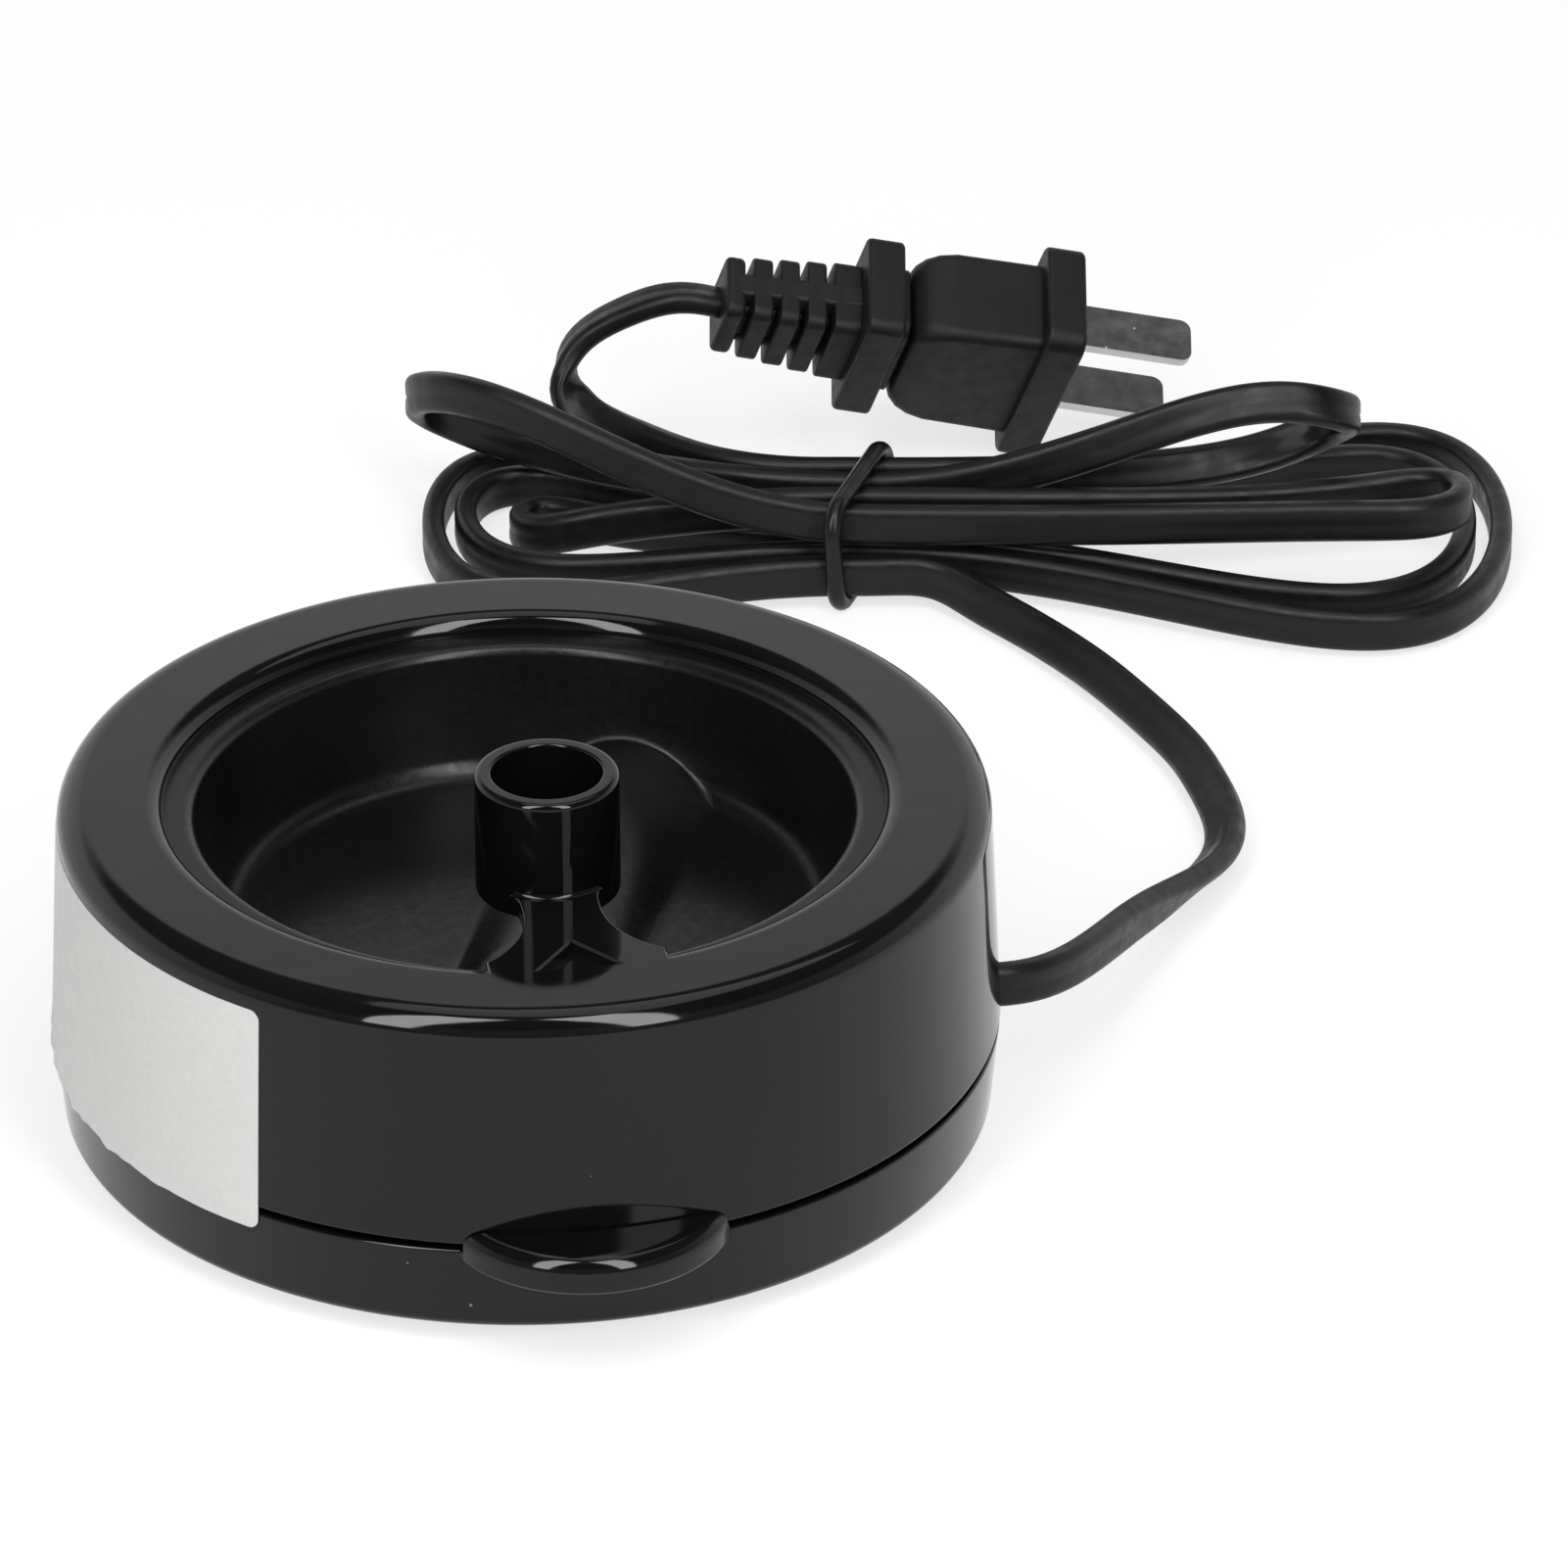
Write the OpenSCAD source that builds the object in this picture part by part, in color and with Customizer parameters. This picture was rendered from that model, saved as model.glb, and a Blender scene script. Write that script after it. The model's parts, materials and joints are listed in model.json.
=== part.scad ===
// Small round mains-heated melting pot with a tool tube, a front tab and a hanked mains cord.
// Millimetres. The front is -Y and the table is z = 0. The pieces are drawn round the body axis and
// then moved back by half the tab's reach, so that the origin is in the middle of the pot's outline.

/* [Upper shell] */
// Outside diameter at the lower edge of the upper shell
shell_d = 108; // [100:0.5:118]
// How far the shell wall leans in from its lower edge to its top
shell_lean = 1.2; // [0.2:0.1:2.4]
// Height of the upper shell
shell_h = 27.9; // [25:0.1:36]
// Wall thickness of the two mouldings
wall = 2.4; // [1.8:0.1:3]
// Thickness of the top ring and its tongue
ring_t = 2.2; // [1.6:0.1:3]
// Width of the top ring, from its outer edge to its hole
ring_w = 12.2; // [11.4:0.1:13.4]
// Radius of the ring's rounded edges
ring_edge_r = 1.9; // [0.6:0.1:2]

/* [Tool tube] */
// Outside diameter of the tool tube
tube_od = 16.2; // [14:0.1:19]
// Bore of the tool tube
tube_id = 12.4; // [8:0.1:13]
// Height of the tube above the ring
tube_rise = 11.6; // [6:0.2:18]
// How far the tube reaches below the top of the ring
tube_drop = 2.8; // [1:0.1:4]
// Distance from the body axis to the tube
tube_y = 18; // [15:0.5:22]
// Width of the tongue where it meets the tube
tongue_w = 8.8; // [7:0.2:12]
// Width of the tongue at the ring
tongue_root_w = 20; // [16:0.5:26]
// Radius of the tongue's flared sides
tongue_flare_r = 12; // [8:0.5:14]
// Width of the triangular recess in the tongue
notch_w = 9.5; // [5:0.5:12]
// Length of the triangular recess
notch_l = 6; // [3:0.5:8]
// Depth of the triangular recess
notch_depth = 1.4; // [0.6:0.1:1.5]

/* [Base] */
// Height of the base shell
base_h = 10.6; // [9:0.1:16]
// How far the base wall stands in from the shell wall
base_inset = 0.8; // [0.2:0.1:1.6]
// Open seam between the two shells
seam_gap = 0.7; // [0.3:0.1:1.2]
// Radius of the base's lower edge
base_edge_r = 1.5; // [0.6:0.1:3]
// Height of the locating lip inside the seam
lip_h = 2.5; // [1:0.1:3]
// Thickness of the locating lip
lip_t = 1.6; // [1:0.1:2]

/* [Front tab] */
// Width of the front tab where it leaves the wall
tab_w = 30; // [20:0.5:40]
// How far the tab stands out from the wall
tab_reach = 7.2; // [4:0.2:12]
// Thickness of the tab
tab_t = 4.7; // [3:0.1:7]
// Height of the tab's top above the seam
tab_rise = 2.6; // [1:0.1:4]
// Radius of the tab's upper edge
tab_edge_r = 1.2; // [0.4:0.1:1.6]

/* [Feet] */
// Diameter of a rubber foot
foot_d = 9; // [7:0.5:11]
// Height of a rubber foot
foot_h = 2; // [1:0.1:4]
// Distance from a foot's edge to the edge of the base
foot_inset = 3.2; // [2.4:0.1:5]
// Direction of each foot from the body axis, turned from the left and right
foot_turn = 24.4; // [20:0.2:38]
// Diameter of a foot's peg
foot_peg_d = 3.6; // [2.4:0.1:4.4]

/* [Dish] */
// How far the dish's rim stands in from the hole of the ring
dish_inset = 3.2; // [2:0.1:5]
// How far the dish wall leans in from its rim to its floor
dish_taper = 2.8; // [1.4:0.1:4]
// Depth of the dish from rim to floor
dish_depth = 15; // [12:0.1:17]
// Metal thickness of the dish
dish_t = 1.2; // [0.8:0.1:1.6]
// Radius between the dish wall and floor
dish_fillet = 4; // [2:0.1:5]
// Radius of the dish's rim edge
dish_rim_r = 1.3; // [0.6:0.1:1.8]
// How far the dish flange reaches under the ring
flange_reach = 2.4; // [1.2:0.1:2.6]
// Width of the raised channel in the floor
hump_w = 18.8; // [15:0.2:20]
// Height of the raised channel
hump_h = 4.8; // [4:0.1:5.4]
// Direction of the channel, turned from straight back
hump_turn = 21; // [10:1:30]
// Thickness of the gasket under the flange
gasket_t = 1; // [0.6:0.1:1.6]
// Thickness of the clamp ring
clamp_t = 1; // [0.8:0.1:1.6]

/* [Heater] */
// Length of the heating element
heater_l = 30; // [24:0.5:32]
// Width of the heating element
heater_w = 17; // [12:0.5:18]
// Thickness of the heating element
heater_t = 5; // [3.5:0.1:5.5]
// Thickness of the spring bracket
bracket_t = 1; // [0.8:0.1:1.4]
// Outside diameter of the fuse sleeve
sleeve_d = 6; // [5:0.1:6.4]
// Length of the fuse sleeve
sleeve_l = 22; // [18:0.5:24]
// Diameter of the thermal fuse
fuse_d = 4; // [3:0.1:4.4]
// Diameter of the heat shield
shield_d = 66; // [60:0.5:68]
// Height of the heat shield above the base floor
shield_lift = 4.6; // [3.4:0.1:5]
// Diameter of an inner lead
lead_d = 2; // [1.4:0.1:2.2]

/* [Fasteners] */
// Shank diameter of the body screws
screw_d = 2.9; // [2.4:0.1:3.2]
// Head diameter of the body screws
screw_head_d = 5.2; // [4.4:0.1:5.4]
// Shank diameter of the small screws
small_screw_d = 2; // [1.6:0.1:2.4]
// Diameter of the studs under the dish
stud_d = 3; // [2.5:0.1:3.2]

/* [Cord and plug] */
// Width of the flat cord
cord_w = 5.2; // [4.8:0.1:5.4]
// Thickness of the flat cord
cord_t = 2.8; // [2.4:0.1:3]
// Direction in which the cord leaves, from +X
cord_turn = -5; // [-15:1:15]
// Thickness of the tie round the hank
tie_t = 1.2; // [0.8:0.1:1.6]
// Width of the plug's front flange
plug_w = 26.5; // [23:0.5:28]
// Thickness of the plug's front flange
plug_t = 15.2; // [12:0.2:16]
// Length of the plug without its blades
plug_l = 45; // [41:0.5:48]
// Length of a blade
blade_l = 15.5; // [14:0.5:19]
// Width of a blade
blade_w = 6.3; // [6:0.1:6.6]
// Thickness of a blade
blade_t = 1.5; // [1.3:0.1:1.7]
// Distance between the blades
blade_gap = 12.7; // [12.5:0.1:12.9]

/* [Label] */
// Height of the blank label
label_h = 27; // [20:0.5:28]
// Width of the blank label along the wall
label_w = 62; // [40:1:70]
// Thickness of the blank label
label_t = 0.2; // [0.1:0.05:0.4]

/* [Hidden] */
$fn = 96;

// Clearance between fitted pieces, and the smaller one round a screw
fit = 0.3;
thread_fit = 0.05;
// Overlap that makes a cut or a join clean
eps = 0.01;

// Heights, from the table up
base_z = foot_h;
base_floor_z = base_z + wall;
seam_z = base_z + base_h;
shell_z = seam_z + seam_gap;
top_z = shell_z + shell_h;
rim_z = top_z - ring_t;
floor_z = rim_z - dish_depth;
under_z = floor_z - dish_t;
gasket_z = rim_z - dish_t - gasket_t;
clamp_z = gasket_z - clamp_t;
shield_t = 0.8;
shield_z = base_floor_z + shield_lift;
shield_top_z = shield_z + shield_t;
cord_z = seam_z + seam_gap / 2;

// Radii of the body
shell_r = shell_d / 2;
shell_top_r = shell_r - shell_lean;
ring_in_r = shell_top_r - ring_w;
edge_r = min(ring_edge_r, ring_t - 0.2);
base_r = shell_r - base_inset;
base_lean = 0.7;
base_low_r = base_r - base_lean;
lip_r = shell_r - wall - fit;
flange_r = ring_in_r + flange_reach;

// Screw pillars of the body, four of them, clear of the dish flange
pillar_r = screw_d / 2 + 2;
pillar_at = flange_r + fit + pillar_r;
pillar_angles = [62, 118, -62, -118];
pillar_z = seam_z + lip_h + 1.4;
screw_head_h = 2;
screw_l = 12;

// Bosses for the clamp ring
boss_r = small_screw_d / 2 + 1.6;
boss_at = flange_r + fit + boss_r;
boss_angles = [28, 152, -28, -152];
small_head_r = small_screw_d * 1.1;
small_head_h = 1.4;

// Dish wall, leaning out by this angle
dish_r = ring_in_r - dish_inset;
dish_floor_r = dish_r - dish_taper;
dish_lean = atan((dish_r - dish_floor_r) / dish_depth);
bend_steps = 4;
gasket_in_r = dish_r + dish_t / cos(dish_lean) + fit;

// Raised channel: part of a lying cylinder that starts near the tube and runs to the dish wall
hump_r = (pow(hump_w / 2, 2) + pow(hump_h, 2)) / (2 * hump_h);
hump_z = floor_z + hump_h - hump_r;
hump_start = [0, 4 - tube_y];
hump_in_r = hump_r - dish_t;
hump_run = 60;
hollow_run = 44;

// Heater stack, in the channel's own frame: u runs along the channel, v to its left
heater_u = 18;
heater_v = hump_w / 2 + 0.6 + heater_w / 2;
heater_z = under_z - heater_t;
bracket_z = heater_z - bracket_t;
bracket_w = 12;
stud_reach = heater_l / 2 + stud_d + 1.5;
stud_l = heater_t + bracket_t + 3;
nut_h = 2.5;
arm_w = 12;
sleeve_z = hump_z + hump_in_r - sleeve_d / 2 - 0.1;
shelf_z = sleeve_z - sleeve_d / 2;
sleeve_bore = fuse_d + 0.4;
sleeve_u = heater_u + 4;
fuse_l = 11;
fuse_pin_d = 1;
terminal_u = [heater_u - heater_l / 3, heater_u + heater_l / 3];

// Cord entry, in the frame turned to the cord's direction
clamp_x = shell_r - 11;
clamp_w = 5.6;
clamp_post_r = small_screw_d / 2 + 1.7;
clamp_post_y = cord_t / 2 + fit + clamp_post_r;
clamp_bar_t = 2;
cord_start_x = clamp_x - 5;
core_d = 1.8;
connector_d = 4.4;
connector_l = 11;
connector_x = cord_start_x - 18;
connector_y = 3.6;
lead_pull = 11;
fuse_pull = 15;
link_pull = 7;
core_pull = 3;
link_end_pull = 6;
neutral_end_pull = [9, 3];
connector_z = shield_top_z + connector_d / 2 + 0.1;

// Label on the left of the front, measured round the wall
label_edge = 41.7;
label_low_z = seam_z - 2;

// Hank: waist position, direction of its long axis and the places that the strands take in the tie
hank_at = [shell_r + 6, 121];
hank_turn = -11;
low_z = tie_t + 0.4 + cord_w / 2;
high_z = low_z + cord_w + 0.8;
pitch = cord_t + 0.8;
slots = [
    [-2 * pitch - 0.6, low_z], [2 * pitch, low_z], [-pitch, low_z], [pitch, low_z], [0, low_z],
    [-0.7, high_z], [-5.4, high_z], [3.3, high_z], [7.4, high_z]
];
// Each half loop, left and right in turn: reach, swell, shift to the back, rise, lift and roll
half_loops = [
    [54, 14, 8, -1.4, 0, 0],
    [80.5, 22.5, 7.5, -1.4, 0, 0],
    [50, 9.7, 9, -1.4, 0, 0],
    [76, 18, 7.9, -1.4, 0, 0],
    [43, 3, 8, -4.4, 0, 0],
    [75, 3, 5, 2.4, -3, 0],
    [56.5, 4, 19.5, -3, 13.3, 0],
    [61, 0.5, 4.5, 1, 12, 60]
];
loop_rings = 12;
stub = 6;
tie_room = 0.4;
tie_w = 2;

// Cord routes outside the body and the hank, chosen by hand, with x from the side of the shell;
// the tail also has its wide direction
lead_route = [
    [7, -1.5, 12], [12.5, 5, 10.5], [20, 16.5, 7.7], [27, 26.5, 5], [32, 33.5, 3.6], [35.5, 40, 3],
    [37, 47, 2.8], [37, 54, 2.8], [36, 64, 2.8], [33, 75, 2.8], [29, 86.5, 2.8], [24, 97, 2.8],
    [18.5, 105.5, 3.2]
];
tail_route = [
    [[-10, 134.5, 10], [0, 0, 1]],
    [[-18, 142.5, 10], [0, 0.3, 1]],
    [[-24.5, 149, 11.5], [0, 1, 1]],
    [[-26.5, 153, 14.5], [0.5, 1, 0.3]],
    [[-24.5, 155, 18.8], [0.3, 1, 0]],
    [[-18.3, 154.4, 22.8], [0, 1, 0]]
];

// Plug: centre of its front face, roll, nose-down pitch and turn
plug_at = [shell_r + 36.9, 150.4, 14];
plug_roll = 28.4;
plug_pitch = 12.8;
plug_turn = -2.7;
relief_l = 17.3;
collar_t = 4.9;
front_t = 5.1;
groove_t = 1.5;

// Vector helpers
function unit(v) = v / norm(v);
function mix(a, b, t) = a + (b - a) * t;
function turned(p, a) = [p[0] * cos(a) - p[1] * sin(a), p[0] * sin(a) + p[1] * cos(a), p[2]];

// Points of a smooth curve through the given points
function between(p, i, t) =
    let (a = p[max(i - 1, 0)], b = p[i], c = p[i + 1], d = p[min(i + 2, len(p) - 1)])
    0.5 * (2 * b + (c - a) * t + (2 * a - 5 * b + 4 * c - d) * t * t + (3 * b - a - 3 * c + d) * t * t * t);
function smooth(p, steps) =
    [for (i = [0:len(p) - 2]) for (k = [0:steps - 1]) between(p, i, k / steps), p[len(p) - 1]];

// Points of a lead that leaves along one direction and arrives along another
function bend_point(a, b, c, d, t) =
    pow(1 - t, 3) * a + 3 * t * pow(1 - t, 2) * b + 3 * t * t * (1 - t) * c + pow(t, 3) * d;
function bend(a, leave, d, arrive, n) =
    [for (k = [0:n]) bend_point(a, a + leave, d - arrive, d, k / n)];

// Cross-sections: thin direction first, wide direction second
function round_section(d, n) = [for (k = [0:n - 1]) d / 2 * [cos(360 * k / n), sin(360 * k / n)]];
function flat_section() =
    let (x = cord_t / 2, y = cord_w / 2, c = cord_t * 0.3)
    [[x, y - c], [x - c, y], [c - x, y], [-x, y - c], [-x, c - y], [c - x, -y], [x - c, -y], [x, c - y]];
function lean_section() =
    let (x = cord_t / 2, y = cord_w / 2, c = cord_t * 0.4)
    [[x, y - c], [0, y], [-x, y - c], [-x, c - y], [0, -y], [x, c - y]];

// One swept tube along a path, with the wide direction given at each point
function heading(p, i) = unit(p[min(i + 1, len(p) - 1)] - p[max(i - 1, 0)]);
function ring_at(p, t, up, section) =
    let (s = unit(cross(t, up)), w = cross(s, t)) [for (q = section) p + q[0] * s + q[1] * w];
module swept(path, ups, section) {
    n = len(path);
    m = len(section);
    points = [for (i = [0:n - 1]) each ring_at(path[i], heading(path, i), ups[i], section)];
    near_cap = [for (j = [1:m - 2]) [0, j, j + 1]];
    far = (n - 1) * m;
    far_cap = [for (j = [1:m - 2]) [far, far + j + 1, far + j]];
    sides = [
        for (i = [0:n - 2]) for (j = [0:m - 1])
        let (a = i * m + j, b = i * m + (j + 1) % m)
        each [[a, a + m, b], [b, a + m, b + m]]
    ];
    polyhedron(points, concat(near_cap, far_cap, sides), convexity = 10);
}
function steady(path, up) = [for (p = path) up];

// Hank path: half loops between the tie's places, with a straight stub at each end
function to_part(p) = [hank_at[0], hank_at[1], 0] + turned(p, hank_turn);
function swell(a) = -cos(a) * pow(sin(a), 2) / 0.385;
function lift(a) = pow(sin(a) * (1 + cos(a)) / 2, 2) / 0.42;
function loop_point(k, a) =
    let (
        h = half_loops[k],
        from = slots[k],
        to = slots[k + 1],
        side = k % 2 == 0 ? -1 : 1,
        t = (1 - cos(a)) / 2,
        out = pow(sin(a), 2),
        turn = to[0] > from[0] ? 1 : -1
    )
    [
        side * h[0] * sin(a),
        mix(from[0], to[0], t) + turn * h[1] * swell(a) + h[2] * out,
        mix(from[1], to[1], t) + h[3] * out + h[4] * lift(a)
    ];
last_slot = slots[len(slots) - 1];
hank_start = [stub, slots[0][0], slots[0][1]];
hank_end = [-stub, last_slot[0], last_slot[1]];
hank_local = [
    hank_start,
    for (k = [0:len(half_loops) - 1]) for (i = [0:loop_rings - 1]) loop_point(k, 180 * i / loop_rings),
    [0, last_slot[0], last_slot[1]],
    hank_end
];
hank_path = [for (p = hank_local) to_part(p)];
hank_roll = [
    0,
    for (h = half_loops) for (i = [0:loop_rings - 1]) h[5] * pow(sin(180 * i / loop_rings), 2),
    0, 0
];
hank_ups = [for (r = hank_roll) turned([0, sin(r), cos(r)], hank_turn)];

// Least gap of the hank to itself, from each point to each far stretch
function near_on(p, a, b) =
    let (d = [b[0] - a[0], b[1] - a[1]], t = (([p[0] - a[0], p[1] - a[1]]) * d) / max(d * d, eps))
    mix(a, b, min(max(t, 0), 1));
function half_across(i) = mix(cord_t, cord_w, sin(hank_roll[i])) / 2;
function gap_to(p, q, across) =
    max(norm([p[0] - q[0], p[1] - q[1]]) - across, abs(p[2] - q[2]) - cord_w);
hank_gap = min([
    for (i = [0:len(hank_path) - 1]) for (j = [0:len(hank_path) - 2])
    if (abs(i - j) > 4)
    gap_to(
        hank_path[i], near_on(hank_path[i], hank_path[j], hank_path[j + 1]),
        half_across(i) + max(half_across(j), half_across(j + 1))
    )
]);
echo(least_gap_of_hank = hank_gap);

// Whole routes of the cord's other stretches
function cord_frame(x, y, z) = turned([x, y, z], cord_turn);
function beside_shell(p) = p + [shell_r, 0, 0];
lead_path = smooth(concat(
    [for (x = [cord_start_x, shell_r - 5, shell_r + 1.5]) cord_frame(x, 0, cord_z)],
    [for (p = lead_route) beside_shell(p)],
    [to_part(hank_start + [stub / 2, 0, 0]), to_part(hank_start)]
), 3);
function plug_point(x) = plug_at + turned([x * cos(plug_pitch), 0, -x * sin(plug_pitch)], plug_turn);
tail_rows = concat(
    [[to_part(hank_end), [0, 0, 1]], [to_part(hank_end - [stub / 2, 0, 0]), [0, 0, 1]]],
    [for (r = tail_route) [beside_shell(r[0]), r[1]]],
    [[plug_point(-plug_l - cord_w), [0, 1, 0]], [plug_point(-plug_l), [0, 1, 0]]]
);
tail_path = smooth([for (r = tail_rows) r[0]], 3);
tail_ups = smooth([for (r = tail_rows) r[1]], 3);

// Body pieces

module corner_cut(x, z, r, sx, sz) {
    translate([x, z]) scale([sx, sz]) difference() {
        translate([-r, -r]) square(r + 1);
        translate([-r, -r]) circle(r);
    }
}

module around(angles, r) {
    for (a = angles) rotate([0, 0, a]) translate([r, 0, 0]) children();
}

module cord_turned() {
    rotate([0, 0, cord_turn]) children();
}

module shell_profile() {
    difference() {
        polygon([
            [shell_r - wall, shell_z], [shell_r, shell_z], [shell_top_r, top_z - edge_r],
            [shell_top_r, top_z], [ring_in_r, top_z], [ring_in_r, rim_z],
            [shell_top_r - wall, rim_z]
        ]);
        corner_cut(shell_top_r, top_z, edge_r, 1, 1);
        corner_cut(ring_in_r, top_z, edge_r, -1, 1);
    }
}

module tongue_plan() {
    flare_y = ring_in_r - tongue_flare_r;
    root_y = ring_in_r + edge_r;
    difference() {
        translate([-tongue_root_w / 2, -root_y]) square([tongue_root_w, root_y - tube_y]);
        for (s = [-1, 1]) {
            translate([s * (tongue_w / 2 + tongue_flare_r), -flare_y]) circle(tongue_flare_r);
            translate([s * (tongue_w / 2 + tongue_root_w / 2), -flare_y + tongue_root_w])
                square([tongue_root_w, 2 * tongue_root_w], center = true);
        }
    }
}

module tube_profile() {
    rim = (tube_od - tube_id) / 6;
    difference() {
        translate([0, top_z - tube_drop]) square([tube_od / 2, tube_rise + tube_drop]);
        corner_cut(tube_od / 2, top_z + tube_rise, rim, 1, 1);
    }
}

module notch_plan() {
    polygon([[0, notch_l - ring_in_r - 1], [notch_w / 2, -ring_in_r - 1], [-notch_w / 2, -ring_in_r - 1]]);
}

module upper_shell() {
    color("#1b1b1c") difference() {
        union() {
            rotate_extrude() shell_profile();
            translate([0, 0, rim_z]) linear_extrude(ring_t) tongue_plan();
            translate([0, -tube_y, 0]) rotate_extrude() tube_profile();
            around(pillar_angles, pillar_at)
                translate([0, 0, pillar_z]) cylinder(r = pillar_r, h = rim_z - pillar_z + eps);
            around(boss_angles, boss_at)
                translate([0, 0, clamp_z + clamp_t]) cylinder(r = boss_r, h = gasket_t + dish_t + eps);
        }
        translate([0, -tube_y, top_z - tube_drop - 1]) cylinder(d = tube_id, h = tube_rise + tube_drop + 2);
        translate([0, 0, top_z - notch_depth]) linear_extrude(notch_depth + 1) notch_plan();
        around(pillar_angles, pillar_at)
            translate([0, 0, pillar_z - 1]) cylinder(d = screw_d + 2 * thread_fit, h = screw_l + 1);
        around(boss_angles, boss_at)
            translate([0, 0, clamp_z]) cylinder(d = small_screw_d + 2 * thread_fit, h = boss_depth());
        cord_turned() translate([shell_r - 2 * wall, -cord_t / 2 - fit, shell_z - 1])
            cube([3 * wall, cord_t + 2 * fit, cord_z + cord_w / 2 + fit - shell_z + 1]);
    }
}
function boss_depth() = clamp_t + gasket_t + dish_t + ring_t - 0.8;

module base_profile() {
    difference() {
        union() {
            polygon([
                [0, base_z], [base_low_r, base_z], [base_low_r, base_z + base_edge_r], [base_r, seam_z],
                [base_r - wall, seam_z], [base_r - wall, base_floor_z], [0, base_floor_z]
            ]);
            translate([lip_r - lip_t, base_floor_z - eps])
                square([lip_t, seam_z + lip_h - base_floor_z]);
        }
        corner_cut(base_low_r, base_z, base_edge_r, 1, -1);
    }
}

module tab() {
    front = shell_r + tab_reach;
    chord_y = sqrt(pow(shell_r, 2) - pow(tab_w / 2, 2));
    bow = front - chord_y;
    r = (pow(tab_w / 2, 2) + bow * bow) / (2 * bow);
    tab_z = seam_z + tab_rise - tab_t;
    difference() {
        translate([0, r - front, 0]) rotate_extrude() difference() {
            translate([0, tab_z]) square([r, tab_t]);
            corner_cut(r, seam_z + tab_rise, tab_edge_r, 1, 1);
        }
        translate([0, 0, seam_z]) cylinder(r = shell_r + fit, h = tab_rise + 1);
        translate([0, 0, tab_z - 1]) cylinder(r = base_low_r - wall / 2, h = tab_t + 2);
    }
}

module base_shell() {
    clamp_post_h = cord_z + cord_w / 2 - base_floor_z;
    cord_under = cord_z - cord_w / 2;
    color("#1d1d1e") difference() {
        union() {
            rotate_extrude() base_profile();
            tab();
            around(pillar_angles, pillar_at)
                translate([0, 0, base_z + eps]) cylinder(r = pillar_r, h = pillar_z - base_z - eps);
            around(shield_angles(), shield_at()) {
                translate([0, 0, base_z + eps]) cylinder(r = 3, h = shield_z - base_z - eps);
                translate([0, 0, shield_z - eps]) cylinder(r = 1.5, h = shield_t + 1.2);
            }
            cord_turned() {
                for (s = [-1, 1]) translate([clamp_x, s * clamp_post_y, base_floor_z - eps])
                    cylinder(r = clamp_post_r, h = clamp_post_h + eps);
                translate([clamp_x - clamp_w / 2, -cord_t / 2, base_floor_z - eps])
                    cube([clamp_w, cord_t, cord_under - base_floor_z + eps]);
            }
        }
        around(pillar_angles, pillar_at) translate([0, 0, base_z - 1]) {
            cylinder(d = screw_d + fit, h = pillar_z);
            cylinder(d = screw_head_d + fit, h = screw_seat_z() - base_z + 1);
        }
        at_feet([0, 1, 2, 3]) translate([0, 0, base_z - 1]) cylinder(d = foot_peg_d + fit, h = wall + 2);
        cord_turned() {
            translate([shell_r - 4 * wall, -cord_t / 2 - fit, cord_under - fit])
                cube([6 * wall, cord_t + 2 * fit, cord_w + lip_h + 2]);
            for (s = [-1, 1]) translate([clamp_x, s * clamp_post_y, base_floor_z])
                cylinder(d = small_screw_d + 2 * thread_fit, h = clamp_post_h + 1);
        }
    }
}
function shield_angles() = [45, 135, -45, -135];
function shield_at() = shield_d / 2 - 5;
function screw_seat_z() = pillar_z - 2.4;

module at_feet(which) {
    foot_at = base_low_r - foot_inset - foot_d / 2;
    for (i = which) translate([
        (i % 2 == 0 ? -1 : 1) * foot_at * cos(foot_turn), (i < 2 ? -1 : 1) * foot_at * sin(foot_turn), 0
    ]) children();
}

module foot(i) {
    soft_edge = min(0.8, foot_h / 2);
    color("#151515") at_feet([i]) rotate_extrude() {
        difference() {
            square([foot_d / 2, foot_h]);
            corner_cut(foot_d / 2, 0, soft_edge, 1, -1);
        }
        translate([0, foot_h - eps]) square([foot_peg_d / 2, wall - 0.4]);
    }
}

// Dish and the pieces that hold it

module dish_form(out, upper_z) {
    r = dish_fillet + out;
    reach = dish_fillet / tan((90 + dish_lean) / 2);
    centre = [dish_floor_r - reach, floor_z + dish_fillet];
    bend_step = (90 - dish_lean) / bend_steps;
    polygon([
        [0, floor_z - out],
        for (k = [0:bend_steps]) centre + r * [sin(k * bend_step), -cos(k * bend_step)],
        [dish_r + out / cos(dish_lean), rim_z], [dish_r + out / cos(dish_lean), upper_z], [0, upper_z]
    ]);
}

module rim_cut() {
    inset = dish_rim_r * (1 - sin(dish_lean)) / cos(dish_lean);
    centre = [dish_r + inset, rim_z - dish_rim_r];
    touch = centre + dish_rim_r * [-cos(dish_lean), sin(dish_lean)];
    difference() {
        polygon([
            [dish_r - 2, touch[1]], touch, centre, [centre[0], rim_z + 1], [dish_r - 2, rim_z + 1]
        ]);
        translate(centre) circle(dish_rim_r);
    }
}

module along_hump() {
    translate([hump_start[0], hump_start[1], 0]) rotate([0, 0, 90 - hump_turn]) children();
}

module hump_solid(r, run) {
    along_hump() translate([0, 0, hump_z]) rotate([0, 90, 0]) rotate_extrude() {
        square([r, run]);
        intersection() {
            circle(r);
            translate([0, -r]) square([r, r + eps]);
        }
    }
}

module dish_profile() {
    difference() {
        union() {
            dish_form(dish_t, rim_z);
            translate([0, rim_z - dish_t]) square([flange_r, dish_t]);
        }
        dish_form(0, rim_z + 1);
        rim_cut();
    }
}

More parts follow.
